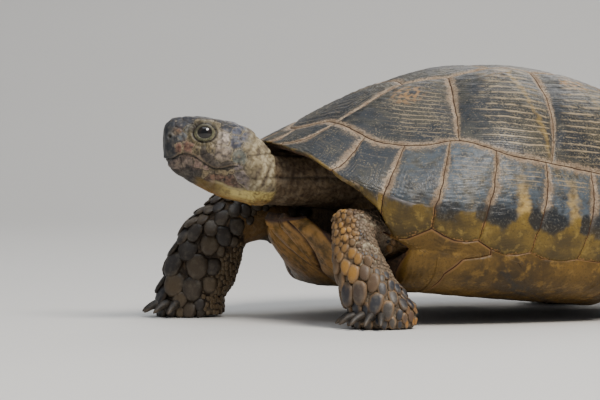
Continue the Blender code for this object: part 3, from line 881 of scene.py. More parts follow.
def horn_material():
    """Weathered horn, painted by the growth, wear, painted sheen and stain that each plate carries."""
    material, tree, shader = plain_material("plate_horn", 0.42, 0.34)
    place = add(tree, "TexCoord").outputs["Object"]
    grown, to_edge, _ = carried(tree, "growth")
    worn, sheen, bright = carried(tree, "wear_and_sheen")
    olive, dark, streak = carried(tree, "stain")
    wide = clouds(tree, place, 55.0, 4.0)
    middling = clouds(tree, place, 240.0, 4.0, 0.6)
    fine = clouds(tree, place, 1100.0, 3.0, 0.6)

    slate = paint(tree, ramp(tree, wide, 0.38, 0.64), (0.013, 0.016, 0.021), (0.036, 0.033, 0.023))
    slate = paint(tree, ramp(tree, middling, 0.45, 0.68), slate, (0.007, 0.008, 0.009))
    # Painted reflection: where a plate has sheen, a pale blue-grey sky lies over the slate
    pale = times(tree, sheen, ramp(tree, middling, 0.30, 0.66))
    slate = paint(tree, times(tree, pale, 0.70), slate, (0.100, 0.126, 0.154))
    dusting = plus(tree, times(tree, worn, 0.22), 0.30)
    flecks = speckle(tree, place, 1150.0, dusting, 3.0)
    slate = paint(tree, times(tree, flecks, 0.62), slate, (0.200, 0.160, 0.098))

    turned = times(tree, grown, GROWTH_SCALE * math.tau)
    uneven = times(tree, middling, 2.2)
    crest = maths(tree, "COSINE", plus(tree, turned, uneven))
    line = ramp(tree, crest, 0.66, 0.99)
    finer = maths(tree, "COSINE", plus(tree, times(tree, turned, 3.0), uneven))
    line = maths(tree, "MAXIMUM", line, times(tree, ramp(tree, finer, 0.5, 1.0), 0.22))
    broken = ramp(tree, clouds(tree, place, 170.0, 4.0, 0.6), 0.34, 0.56)
    inside = ramp(tree, to_edge, 0.12, 0.42, 0.10, 1.0)
    rubbed = times(tree, times(tree, line, worn), times(tree, broken, inside))
    horn = paint(tree, times(tree, rubbed, 0.85), slate, (0.31, 0.235, 0.140))
    yellow = paint(tree, ramp(tree, middling, 0.35, 0.65), (0.30, 0.175, 0.025), (0.42, 0.28, 0.085))
    horn = paint(tree, times(tree, streak, ramp(tree, middling, 0.25, 0.6, 0.25, 0.9)), horn, yellow)
    # Orange spots; where a plate has sheen, the painted highlight along the keel in pale blue-grey
    spot_and_highlight_tone = paint(tree, sheen, (0.31, 0.165, 0.055), (0.24, 0.29, 0.35))
    horn = paint(tree, times(tree, bright, 0.70), horn, spot_and_highlight_tone)

    ragged = times(tree, around_zero(tree, middling), 0.26)
    ragged = plus(tree, ragged, times(tree, around_zero(tree, fine), 0.24))
    edge = plus(tree, to_edge, ragged)
    tan = paint(tree, ramp(tree, middling, 0.35, 0.68), (0.190, 0.132, 0.084), (0.330, 0.248, 0.165))
    tan = paint(tree, times(tree, ramp(tree, fine, 0.48, 0.64), 0.60), tan, (0.080, 0.052, 0.032))
    dusty = paint(tree, times(tree, ramp(tree, edge, 0.26, 0.06), 0.50), horn, (0.115, 0.086, 0.054))
    horn = paint(tree, ramp(tree, edge, 0.155, 0.060), dusty, tan)

    moss = paint(tree, ramp(tree, wide, 0.38, 0.60), (0.148, 0.092, 0.014), (0.058, 0.037, 0.009))
    moss = paint(tree, ramp(tree, middling, 0.50, 0.72), moss, (0.215, 0.142, 0.030))
    moss = paint(tree, times(tree, ramp(tree, fine, 0.5, 0.7), 0.6), moss, (0.060, 0.036, 0.008))
    moss = paint(tree, ramp(tree, edge, 0.035, 0.012), moss, (0.24, 0.125, 0.04))
    horn = paint(tree, olive, horn, moss)
    soot = paint(tree, ramp(tree, fine, 0.50, 0.70), (0.008, 0.009, 0.011), (0.070, 0.066, 0.055))
    horn = paint(tree, times(tree, dark, 0.92), horn, soot)
    horn = paint(tree, ramp(tree, to_edge, 0.022, 0.008), horn, (0.050, 0.022, 0.010))
    tree.links.new(horn, shader.inputs["Base Color"])

    gloss = plus(tree, ramp(tree, fine, 0.3, 0.7, 0.30, 0.52), ramp(tree, edge, 0.10, 0.04, 0.0, 0.22))
    tree.links.new(gloss, shader.inputs["Roughness"])
    height = plus(tree, times(tree, fine, 0.5), times(tree, middling, 0.6))
    height = plus(tree, height, times(tree, finer, 0.12))
    add_relief(tree, shader, height, 0.55, 0.00035)
    return material


plate_horn = horn_material()
around_plate = 150
rings_in_plate = 40
PLATE_SETS = (
    ("back_plates", back_plates() + end_plates()),
    ("side_plates_left", side_plates(-1)),
    ("side_plates_right", side_plates(1)),
    ("edge_plates_left", edge_plates(-1)),
    ("edge_plates_right", edge_plates(1)),
)
shell_middle = standing((APEX_X, 0, 0.045))
for name, plates in PLATE_SETS:
    bm = bmesh.new()
    for plate in plates:
        one = bmesh.new()
        layers = {label: one.verts.layers.float_color.new(label) for label in ("growth", "wear_and_sheen", "stain")}
        set_plate(one, layers, plate, around_plate, rings_in_plate)
        one.normal_update()
        turned_in = sum((face.calc_center_median() - shell_middle).dot(face.normal) for face in one.faces)
        if turned_in < 0:
            bmesh.ops.reverse_faces(one, faces=one.faces)
        join_into(bm, one)
    plates_piece = piece_of(name, bm, plate_horn)
    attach(plates_piece, "root")
    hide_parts("carapace")

# ---------------------------------------------------------------- plastron and bridges
# The flat belly shell: a narrow lobe in front, a bridge up to the carapace on each side and a lobe behind,
# of bone under six pairs of ochre and brown horn plates. The bridge plates climb a little way up the tuck.
LOBES = (
    (-0.107, 0.015), (-0.095, 0.029), (-0.078, 0.039), (-0.064, 0.046),
    (0.050, 0.046), (0.068, 0.040), (0.084, 0.032), (0.096, 0.022),
)
BELLY_FRONT = -0.107
BELLY_REAR = 0.096
BRIDGE_INNER = 0.044
BRIDGE_TOP = 0.0200
CLIMB = 0.30  # radians of rise up the carapace's wall for each unit across, beyond the bridge's edge


def rim_x(turn):
    return dome_point(turn, (BRIDGE_TOP - read(KEELS, turn)) / WALL_REACH).x


def turn_at(x):
    """The angle round the body at which the top of the bridge has this x."""
    low = math.radians(30)
    high = math.radians(150)
    for _ in range(24):
        middle = (low + high) / 2
        if rim_x(middle) < x:
            low = middle
        else:
            high = middle
    return (low + high) / 2


BRIDGE_TURNS = [turn_at(BELLY_FRONT + (BELLY_REAR - BELLY_FRONT) * step / 200) for step in range(201)]


def bridge_turn(x):
    place = min(max((x - BELLY_FRONT) / (BELLY_REAR - BELLY_FRONT) * 200, 0.0), 199.999)
    step = int(place)
    return mix(BRIDGE_TURNS[step], BRIDGE_TURNS[step + 1], place - step)


def belly_point(x, across):
    """A point of the belly shell's outer face in the shell's frame; beyond 1 across it climbs the tuck."""
    side = abs(across)
    turn = bridge_turn(x)
    rise = (BRIDGE_TOP - read(KEELS, turn)) / WALL_REACH
    if side > 1:
        point = dome_point(turn, rise + CLIMB * (side - 1))
        return Vector((point.x, math.copysign(point.y, across), point.z))
    rim = dome_point(turn, rise)
    front_curl = 0.028 * smooth_step(-0.062, -0.112, x) ** 1.1
    rear_curl = 0.0075 * smooth_step(0.045, 0.100, x)
    lobe = Vector((side * eased(LOBES, x), front_curl + rear_curl + 0.0035 * side**4))
    bend = min(max((side - 0.625) / 0.25, 0.0), 1.0) * math.pi / 2
    strip = 0.0030 * max(side - 0.875, 0.0) / 0.125
    bridge = Vector((
        min(side / 0.625, 1.0) * BRIDGE_INNER + (rim.y - BRIDGE_INNER) * math.sin(bend),
        (BRIDGE_TOP - 0.0030) * (1 - math.cos(bend)) + strip,
    ))
    bridged = smooth_step(-0.0745, -0.0665, x) * (1 - smooth_step(0.038, 0.046, x))
    mixed = lobe.lerp(bridge, bridged)
    notch = max(0.0, 1 - side / 0.6)
    at_front = smooth_step(-0.090, -0.107, x)
    at_rear = smooth_step(0.078, 0.096, x)
    x += (0.004 * notch + 0.011 * side**4) * at_front - (0.010 * notch + 0.007 * side**3) * at_rear
    return Vector((x, math.copysign(mixed.x, across), mixed.y))


def belly_out(x, across):
    """The way out of the belly shell, from two short steps along it, inwards at the free edge of a lobe."""
    here = belly_point(x, across)
    along = belly_point(x + 0.0006, across) - here
    at_free_edge = across > 0.985 and not -0.068 < x < 0.040
    step = -0.008 if at_free_edge else 0.008
    aside = (belly_point(x, across + step) - here) * math.copysign(1, step)
    return here, aside.cross(along).normalized()


BELLY_SINK = 0.0007
belly_mesh = bmesh.new()
bmesh.ops.create_grid(belly_mesh, x_segments=90, y_segments=56, size=1)
for vert in belly_mesh.verts:
    x = mix(BELLY_FRONT, BELLY_REAR, (vert.co.x + 1) / 2)
    here, out = belly_out(x, vert.co.y)
    vert.co = standing(here - out * BELLY_SINK)
bmesh.ops.reverse_faces(belly_mesh, faces=belly_mesh.faces)
belly_bone = piece_of("belly_bone", belly_mesh, bone)
belly_wall = belly_bone.modifiers.new("wall", "SOLIDIFY")
belly_wall.thickness = 0.0036
belly_wall.offset = -1
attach(belly_bone, "root")
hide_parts("plastron")

MEET_X = rim_x(math.radians(bridge_run(6)[1][0]))
# Each belly plate: its outline as (x, across), and its oldest point
BELLY_PLATES = (
    (((-0.107, 0), (-0.078, 0), (-0.091, 0.42), (-0.107, 0.75)), (-0.099, 0.22)),
    (((-0.078, 0), (-0.060, 0), (-0.066, 0.5), (-0.0735, 1), (-0.090, 1), (-0.107, 1), (-0.107, 0.75),
      (-0.091, 0.42)), (-0.080, 0.60)),
    (((-0.060, 0), (-0.050, 0), (-0.0525, 0.6), (-0.051, 0.80), (MEET_X, 1.0), "front climb",
      (-0.0675, 1.0), (-0.0695, 0.8), (-0.066, 0.5)), (-0.056, 0.90)),
    (((-0.050, 0), (0.020, 0), (0.022, 0.5), (0.033, 0.82), (0.037, 1.0), "rear climb",
      (MEET_X, 1.0), (-0.051, 0.80), (-0.0525, 0.6)), (0.004, 0.55)),
    (((0.020, 0), (0.060, 0), (0.067, 0.5), (0.074, 1.0), (0.058, 1.0), (0.044, 1.0), (0.037, 1.0),
      (0.033, 0.82), (0.022, 0.5)), (0.046, 0.5)),
    (((0.060, 0), (0.096, 0), (0.096, 1.0), (0.085, 1.0), (0.074, 1.0), (0.067, 0.5)), (0.078, 0.45)),
)


def climbing(seams):
    """Seam points on the carapace's wall as (x, across) on the belly shell's extended face."""
    points = []
    for turn, rise in seams:
        turn = math.radians(turn)
        start = (BRIDGE_TOP - read(KEELS, turn)) / WALL_REACH
        points.append((rim_x(turn), 1 + max(math.radians(rise) - start, 0.0) / CLIMB))
    return points


CLIMBS = {
    "front climb": list(reversed(climbing(bridge_run(4)[:-1] + bridge_run(5)[:-1] + bridge_run(6)[:2]))),
    "rear climb": list(reversed(climbing(bridge_run(6)[1:-1] + bridge_run(7)[:-1] + bridge_run(8)))),
}


BELLY_STRETCH = 10  # a belly plate is outlined with x drawn out, to be about as long as it is wide
BELLY_EDGE_DEPTH = 0.0011


def set_belly_plate(bm, layers, corners, centre, seed, side, around, rings):
    """Adds one belly plate, like a plate of the shell's; the first two are the most swollen."""
    flat = [Vector((x * BELLY_STRETCH, across, 0)) for x, across in corners]
    rim_points = sampled(flat, around)
    for index, point in enumerate(rim_points):
        shift = noise.noise_vector(Vector((point.x * 14, abs(point.y) * 12, 3))) * 0.010
        on_end = abs(point.y) > 0.99 or point.x < -1.06 or point.x > 0.95 or abs(point.y) < 0.001
        rim_points[index] = point if on_end else point + Vector((shift.x, shift.y, 0))
    core = Vector((centre[0] * BELLY_STRETCH, centre[1], 0))
    middle = belly_point(*centre)
    reaches = [(belly_point(point.x / BELLY_STRETCH, point.y) - middle).length for point in rim_points]
    for vert, spot, share, to_edge, sunk in plate_rings(bm, reaches, rings):
        spot_flat = core.lerp(rim_points[spot], share)
        here, out = belly_out(spot_flat.x / BELLY_STRETCH, spot_flat.y)
        body = smooth_step(0.0, FLAT_EDGE, to_edge)
        wobble = noise.noise(here * 45 + Vector((seed, side, 0)))
        grown = share * 6.0 + 0.6 * wobble
        swell = 0.0022 if seed < 2 else 0.0004
        drop = 0.00065 if seed < 2 else 0.00045
        lift = swell * (1 - share * share) * body - drop * (1 - smooth_step(0.0, EDGE_FALL, to_edge))
        lift += 0.00007 * math.cos(math.tau * grown) * body * smooth_step(0.1, 0.3, share)
        lift += 0.00020 * noise.noise(here * 230) * body
        if sunk:
            lift -= BELLY_EDGE_DEPTH
        place = standing(here + out * lift)
        place.y *= side
        vert.co = place
        vert[layers["growth"]] = (0, min(to_edge / EDGE_SCALE, 1.0), 0, 1)
        vert[layers["stain"]] = (abs(spot_flat.y), smooth_step(-0.085, -0.06, here.x), 0, 1)


def belly_material():
    """Ochre horn marbled with brown and dark blotches, darker beside the seams, and browner mid-belly behind
    the front lobes.
    """
    material, tree, shader = plain_material("belly_horn", 0.48, 0.30)
    place = add(tree, "TexCoord").outputs["Object"]
    _, to_edge, _ = carried(tree, "growth")
    across, behind, _ = carried(tree, "stain")
    wide = clouds(tree, place, 42.0, 5.0, 0.6, 0.6)
    middling = clouds(tree, place, 210.0, 4.0, 0.6)
    fine = clouds(tree, place, 1000.0, 3.0, 0.6)
    ochre = paint(tree, ramp(tree, wide, 0.38, 0.60), (0.118, 0.064, 0.010), (0.044, 0.025, 0.006))
    ochre = paint(tree, ramp(tree, middling, 0.50, 0.70), ochre, (0.175, 0.098, 0.018))
    ochre = paint(tree, times(tree, ramp(tree, fine, 0.5, 0.7), 0.6), ochre, (0.050, 0.029, 0.008))
    front = times(tree, ramp(tree, behind, 0.7, 0.1), ramp(tree, middling, 0.3, 0.6))
    ochre = paint(tree, times(tree, front, 0.75), ochre, (0.33, 0.170, 0.045))
    blotch = times(tree, ramp(tree, wide, 0.60, 0.68), ramp(tree, to_edge, 0.05, 0.2))
    ochre = paint(tree, times(tree, blotch, 0.8), ochre, (0.022, 0.018, 0.014))
    under = times(tree, ramp(tree, across, 0.78, 0.55), 0.45)
    under = times(tree, under, behind)
    ochre = paint(tree, under, ochre, (0.060, 0.038, 0.018))
    edge = plus(tree, to_edge, times(tree, around_zero(tree, middling), 0.06))
    ochre = paint(tree, times(tree, ramp(tree, edge, 0.07, 0.03), 0.6), ochre, (0.20, 0.105, 0.040))
    # Darker in a band beside the seams of the front lobes, and darkest in the seams themselves
    deep = times(tree, ramp(tree, to_edge, 0.110, 0.025), ramp(tree, behind, 0.7, 0.1))
    ochre = paint(tree, times(tree, deep, 0.95), ochre, (0.030, 0.012, 0.007))
    ochre = paint(tree, ramp(tree, to_edge, 0.022, 0.008), ochre, (0.060, 0.020, 0.010))
    tree.links.new(ochre, shader.inputs["Base Color"])
    tree.links.new(ramp(tree, fine, 0.3, 0.7, 0.38, 0.58), shader.inputs["Roughness"])
    height = plus(tree, times(tree, fine, 0.5), times(tree, middling, 0.7))
    add_relief(tree, shader, height, 0.5, 0.00035)
    return material


belly_horn = belly_material()
for side, side_name in ((-1, "left"), (1, "right")):
    bm = bmesh.new()
    for seed, (corners, centre) in enumerate(BELLY_PLATES):
        outline_points = []
        for corner in corners:
            outline_points += CLIMBS[corner] if isinstance(corner, str) else [corner]
        one = bmesh.new()
        layers = {label: one.verts.layers.float_color.new(label) for label in ("growth", "stain")}
        set_belly_plate(one, layers, outline_points, centre, seed, side, around_plate, rings_in_plate // 2)
        one.normal_update()
        if sum(face.normal.z * face.calc_area() for face in one.faces) > 0:
            bmesh.ops.reverse_faces(one, faces=one.faces)
        join_into(bm, one)
    belly_piece = piece_of(f"belly_plates_{side_name}", bm, belly_horn)
    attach(belly_piece, "root")
    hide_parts("plastron")

# ---------------------------------------------------------------- flesh: one moulded skin
# Head, neck, legs, tail and the trunk between them, in one dry leathery skin. It is cast in one piece over
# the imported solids, with the head's plates, the lids, the mouth and the neck's folds modelled before casting.
FLESH = (
    "trunk", "neck", "head", "lower_jaw", "tail",
    "foreleg_upper_left", "foreleg_lower_left", "forefoot_left", "hindleg_left", "hindfoot_left",
    "foreleg_upper_right", "foreleg_lower_right", "forefoot_right", "hindleg_right", "hindfoot_right",
)
CLOSING = 0.00045  # swells each solid a little, so that they grow together
SKIN_CELL = 0.0019
TRUNK_CUTS = (-0.054, 0.044)
EYE_RADIUS = 0.0050
EYE_SWELL = 0.00012  # the clear front swells by this much, out to the eye's radius
IRIS_REACH = 0.0040
EYE_ASIDE = 0.0075
EYE_OUT = (-0.20, 1.0, 0.10)
LID_RADIUS = 0.00548
OPENING = (0.0034, 0.0028)
NOSTRIL = (0.0018, 0.0865)
# The line of the closed mouth: back from the snout, and up
MOUTH_LINE = ((0.0, 0.0757), (0.0030, 0.0760), (0.0088, 0.0784), (0.0235, 0.0713), (0.0315, 0.0726))
# Each lump on the jaw: how far back and how long, how far up and how high, and its swell
JAW_LUMPS = (
    ((0.0100, 0.0020), (0.0712, 0.0018), 0.00035), ((0.0140, 0.0017), (0.0708, 0.0020), 0.00040),
    ((0.0173, 0.0016), (0.0727, 0.0014), 0.00045),
)
TONES = {
    "black": (0.020, 0.022, 0.027), "ink": (0.016, 0.019, 0.029), "blue": (0.050, 0.056, 0.082),
    "slate": (0.058, 0.064, 0.070), "rust": (0.085, 0.045, 0.024), "pink": (0.125, 0.064, 0.045),
    "grey_highlight": (0.105, 0.100, 0.088), "pale": (0.310, 0.255, 0.210), "tan": (0.120, 0.092, 0.050),
    "brown": (0.030, 0.024, 0.021), "cheek": (0.170, 0.135, 0.105), "ear": (0.078, 0.084, 0.072),
    "olive": (0.165, 0.130, 0.075), "jaw": (0.120, 0.086, 0.070), "rose": (0.190, 0.125, 0.100),
    "fold": (0.190, 0.140, 0.078), "wine": (0.100, 0.052, 0.034), "lilac": (0.150, 0.122, 0.118),
}
# The head's plates, the same on both sides: back, up, size, tone. Those on the crown: back, out, size, tone.
# The grey plate in front of the eye and the pale plate behind it are painted highlights.
CHEEK_PLATES = (
    (0.0015, 0.0905, 0.0035, "black"), (0.0015, 0.0855, 0.0036, "black"), (0.0018, 0.0792, 0.0042, "black"),
    (0.0055, 0.0893, 0.0022, "rust"), (0.0068, 0.0862, 0.0024, "slate"), (0.0075, 0.0925, 0.0030, "ink"),
    (0.0105, 0.0900, 0.0022, "grey_highlight"), (0.0060, 0.0812, 0.0026, "pink"), (0.0098, 0.0812, 0.0034, "pink"),
    (0.0118, 0.0855, 0.0020, "tan"), (0.0140, 0.0803, 0.0022, "tan"), (0.0172, 0.0797, 0.0022, "brown"),
    (0.0200, 0.0808, 0.0020, "tan"), (0.0190, 0.0768, 0.0028, "brown"), (0.0218, 0.0738, 0.0026, "brown"),
    (0.0254, 0.0783, 0.0046, "cheek"), (0.0264, 0.0853, 0.0036, "pale"), (0.0272, 0.0728, 0.0028, "brown"),
    (0.0283, 0.0912, 0.0030, "ink"), (0.0240, 0.0925, 0.0024, "tan"), (0.0318, 0.0845, 0.0036, "blue"),
    (0.0330, 0.0895, 0.0032, "blue"), (0.0378, 0.0862, 0.0032, "blue"), (0.0337, 0.0770, 0.0037, "ear"),
    (0.0372, 0.0815, 0.0022, "olive"), (0.0388, 0.0775, 0.0024, "olive"), (0.0382, 0.0725, 0.0024, "olive"),
    (0.0325, 0.0722, 0.0020, "lilac"), (0.0050, 0.0733, 0.0030, "jaw"), (0.0098, 0.0742, 0.0030, "jaw"),
    (0.0146, 0.0738, 0.0026, "rose"), (0.0178, 0.0722, 0.0017, "rose"), (0.0060, 0.0688, 0.0026, "brown"),
    (0.0105, 0.0695, 0.0024, "brown"), (0.0142, 0.0696, 0.0024, "brown"), (0.0178, 0.0690, 0.0018, "fold"),
    (0.0206, 0.0698, 0.0014, "fold"), (0.0236, 0.0699, 0.0014, "fold"), (0.0266, 0.0698, 0.0014, "fold"),
    (0.0296, 0.0700, 0.0014, "fold"), (0.0120, 0.0655, 0.0026, "brown"), (0.0205, 0.0672, 0.0020, "wine"),
    (0.0250, 0.0665, 0.0022, "wine"), (0.0295, 0.0655, 0.0026, "wine"), (0.0335, 0.0680, 0.0026, "lilac"),
)
CROWN_PLATES = (
    (0.0060, 0.0026, 0.0034, "ink"), (0.0118, 0.0034, 0.0038, "ink"), (0.0185, 0.0000, 0.0046, "ink"),
    (0.0165, 0.0066, 0.0026, "tan"), (0.0210, 0.0072, 0.0026, "tan"), (0.0258, 0.0032, 0.0034, "ink"),
    (0.0318, 0.0000, 0.0036, "blue"), (0.0305, 0.0066, 0.0032, "ink"), (0.0368, 0.0042, 0.0034, "blue"),
)


def in_head(point):
    """A point in the head's own frame: back from the snout, across to its right, and up."""
    return head_axes.transposed() @ (point - STAND - SNOUT)


def from_head(local):
    return head_axes @ local + STAND + SNOUT


def merged_copy(name):
    """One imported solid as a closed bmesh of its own."""
    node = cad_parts[name]
    bm = bmesh.new()
    bm.from_mesh(node.data)
    bm.transform(node.matrix_world)
    bmesh.ops.remove_doubles(bm, verts=bm.verts, dist=MERGE)
    bmesh.ops.recalc_face_normals(bm, faces=bm.faces)
    return bm


def ends_only(bm):
    """Leaves out the middle of the trunk, which the closed shell hides."""
    both = bmesh.new()
    for place, way in ((TRUNK_CUTS[0], 1), (TRUNK_CUTS[1], -1)):
        half = bm.copy()
        geom = half.verts[:] + half.edges[:] + half.faces[:]
        cut = bmesh.ops.bisect_plane(
            half, geom=geom, plane_co=standing(Vector((place, 0, 0))), plane_no=(way, 0, 0), clear_outer=True
        )
        rims = [item for item in cut["geom_cut"] if isinstance(item, bmesh.types.BMEdge)]
        bmesh.ops.holes_fill(half, edges=rims)
        join_into(both, half)
    bm.free()
    both.normal_update()
    return both


flesh_block = bmesh.new()
zone_places = []
zone_faces = []
zone_names = []
for name in FLESH:
    solid = merged_copy(name)
    first = len(zone_places)
    solid.verts.index_update()
    zone_places += [vert.co.copy() for vert in solid.verts]
    zone_faces += [[first + vert.index for vert in face.verts] for face in solid.faces]
    zone_names += [name] * len(solid.faces)
    if name == "trunk":
        solid = ends_only(solid)
    for vert in solid.verts:
        vert.co += vert.normal * CLOSING
    join_into(flesh_block, solid)
zone_tree = BVHTree.FromPolygons(zone_places, zone_faces)
eye_centres = {side: Vector((EYE_PLACE.x, side * EYE_ASIDE, EYE_PLACE.z)) for side in (-1, 1)}
for side, centre in eye_centres.items():
    plug = Matrix.Translation(from_head(centre))
    bmesh.ops.create_icosphere(flesh_block, subdivisions=3, radius=LID_RADIUS + CLOSING + 0.0001, matrix=plug)
block = piece_of("flesh_block", flesh_block)
grown = block.modifiers.new("grown_together", "REMESH")
grown.mode = "VOXEL"
grown.voxel_size = SKIN_CELL
skin = bmesh.new()
skin.from_object(block, bpy.context.evaluated_depsgraph_get())
bpy.data.objects.remove(block)


def round_off(bm, verts, factor, passes):
    for _ in range(passes):
        bmesh.ops.smooth_vert(
            bm, verts=verts, factor=factor, use_axis_x=True, use_axis_y=True, use_axis_z=True
        )


def refine(bm, chosen, passes):
    """Halves the cells of the chosen part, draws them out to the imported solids, and rounds them."""
    faces = [face for face in bm.faces if chosen(face.calc_center_median())]
    edges = list({edge for face in faces for edge in face.edges})
    bmesh.ops.subdivide_edges(bm, edges=edges, cuts=1, use_grid_fill=True)
    verts = [vert for vert in bm.verts if chosen(vert.co)]
    for vert in verts:
        if not by_an_eye(vert.co):
            place, out, _, _ = zone_tree.find_nearest(vert.co)
            vert.co = place + out * CLOSING
    round_off(bm, verts, 0.5, passes)


def on_limb(point):
    return zone_names[zone_tree.find_nearest(point)[2]] != "trunk"


def on_head(point):
    local = in_head(point)
    return local.x < 0.041 and local.z > 0.052 and abs(local.y) < 0.02


def by_an_eye(point):
    local = in_head(point)
    return min((local - centre).length for centre in eye_centres.values()) < 0.0078 and abs(local.y) > 0.007


refine(skin, on_limb, 5)
refine(skin, on_head, 6)
refine(skin, by_an_eye, 3)
skin.normal_update()
skin_tree = BVHTree.FromBMesh(skin)


def on_skin(start, way):
    """Where a line towards the head meets the skin, in the head's frame, or None."""
    hit = skin_tree.ray_cast(from_head(Vector(start)), head_axes @ Vector(way))[0]
    return in_head(hit) if hit else None


def on_side_of_head(side, back, up):
    return on_skin((back, side * 0.03, up), (0, -side, 0))


def plate_seeds():
    """The head's plates as places on the skin with their sizes and tones."""
    seeds = []
    for side in (-1, 1):
        for back, up, size, tone in CHEEK_PLATES:
            seeds.append((on_side_of_head(side, back, up), size, TONES[tone], tone))
        for back, out, size, tone in CROWN_PLATES:
            if side == 1 or out > 0:
                seeds.append((on_skin((back, side * out, 0.12), (0, 0, -1)), size, TONES[tone], tone))
    return [seed for seed in seeds if seed[0]]


HEAD_SEEDS = plate_seeds()
nostrils = [on_side_of_head(side, *NOSTRIL) for side in (-1, 1)]


def gaze(side):
    return Vector((EYE_OUT[0], side * EYE_OUT[1], EYE_OUT[2])).normalized()


def eye_measure(local):
    """Across and up from the eye's middle, the arm to it, and how far out: 1 at the opening's edge."""
    side = 1 if local.y > 0 else -1
    out = gaze(side)
    up = (Vector((0, 0, 1)) - out * out.z).normalized()
    back = (Vector((1, 0, 0)) - out * out.x - up * up.x).normalized()
    arm = local - eye_centres[side]
    if arm.dot(out) < 0.0005:
        return 0, 0, arm, 9.0
    across = arm.dot(back)
    above = arm.dot(up)
    return across, above, arm, math.hypot(across / OPENING[0], above / OPENING[1])


def bell(value, width):
    return math.exp(-((value / width) ** 2))


def blend(first, second, share):
    return Vector(first).lerp(Vector(second), min(max(share, 0.0), 1.0))


def throat_tone(local, normal, colour):
    """The bare yellow skin under the jaw and throat, shaded in paint where it faces down, with a pale fold
    along its upper edge.
    """
    line = max(0.0675 - 0.35 * (local.x - 0.016), 0.0612)
    above = local.z - line - 0.0008 * noise.noise(local * 160)
    below = smooth_step(0.0004, -0.0008, above) * smooth_step(0.0125, 0.0165, local.x)
    yellow = blend((0.125, 0.078, 0.018), (0.54, 0.43, 0.15), smooth_step(0.021, 0.034, local.x))
    speckle = noise.noise(local * 420) + 0.6 * noise.noise(local * 1100)
    yellow = blend(yellow, (0.10, 0.055, 0.016), 0.6 * smooth_step(0.0, 0.5, speckle))
    # Painted shade: orange brown where the throat faces down
    yellow = blend(yellow, (0.17, 0.080, 0.011), 0.85 * smooth_step(-0.62, -0.90, normal.z))
    fold = bell(above - 0.0003, 0.0006)
    fold *= smooth_step(0.020, 0.025, local.x) * smooth_step(0.038, 0.034, local.x)
    return blend(blend(colour, yellow, below), (0.44, 0.37, 0.17), 0.7 * fold)


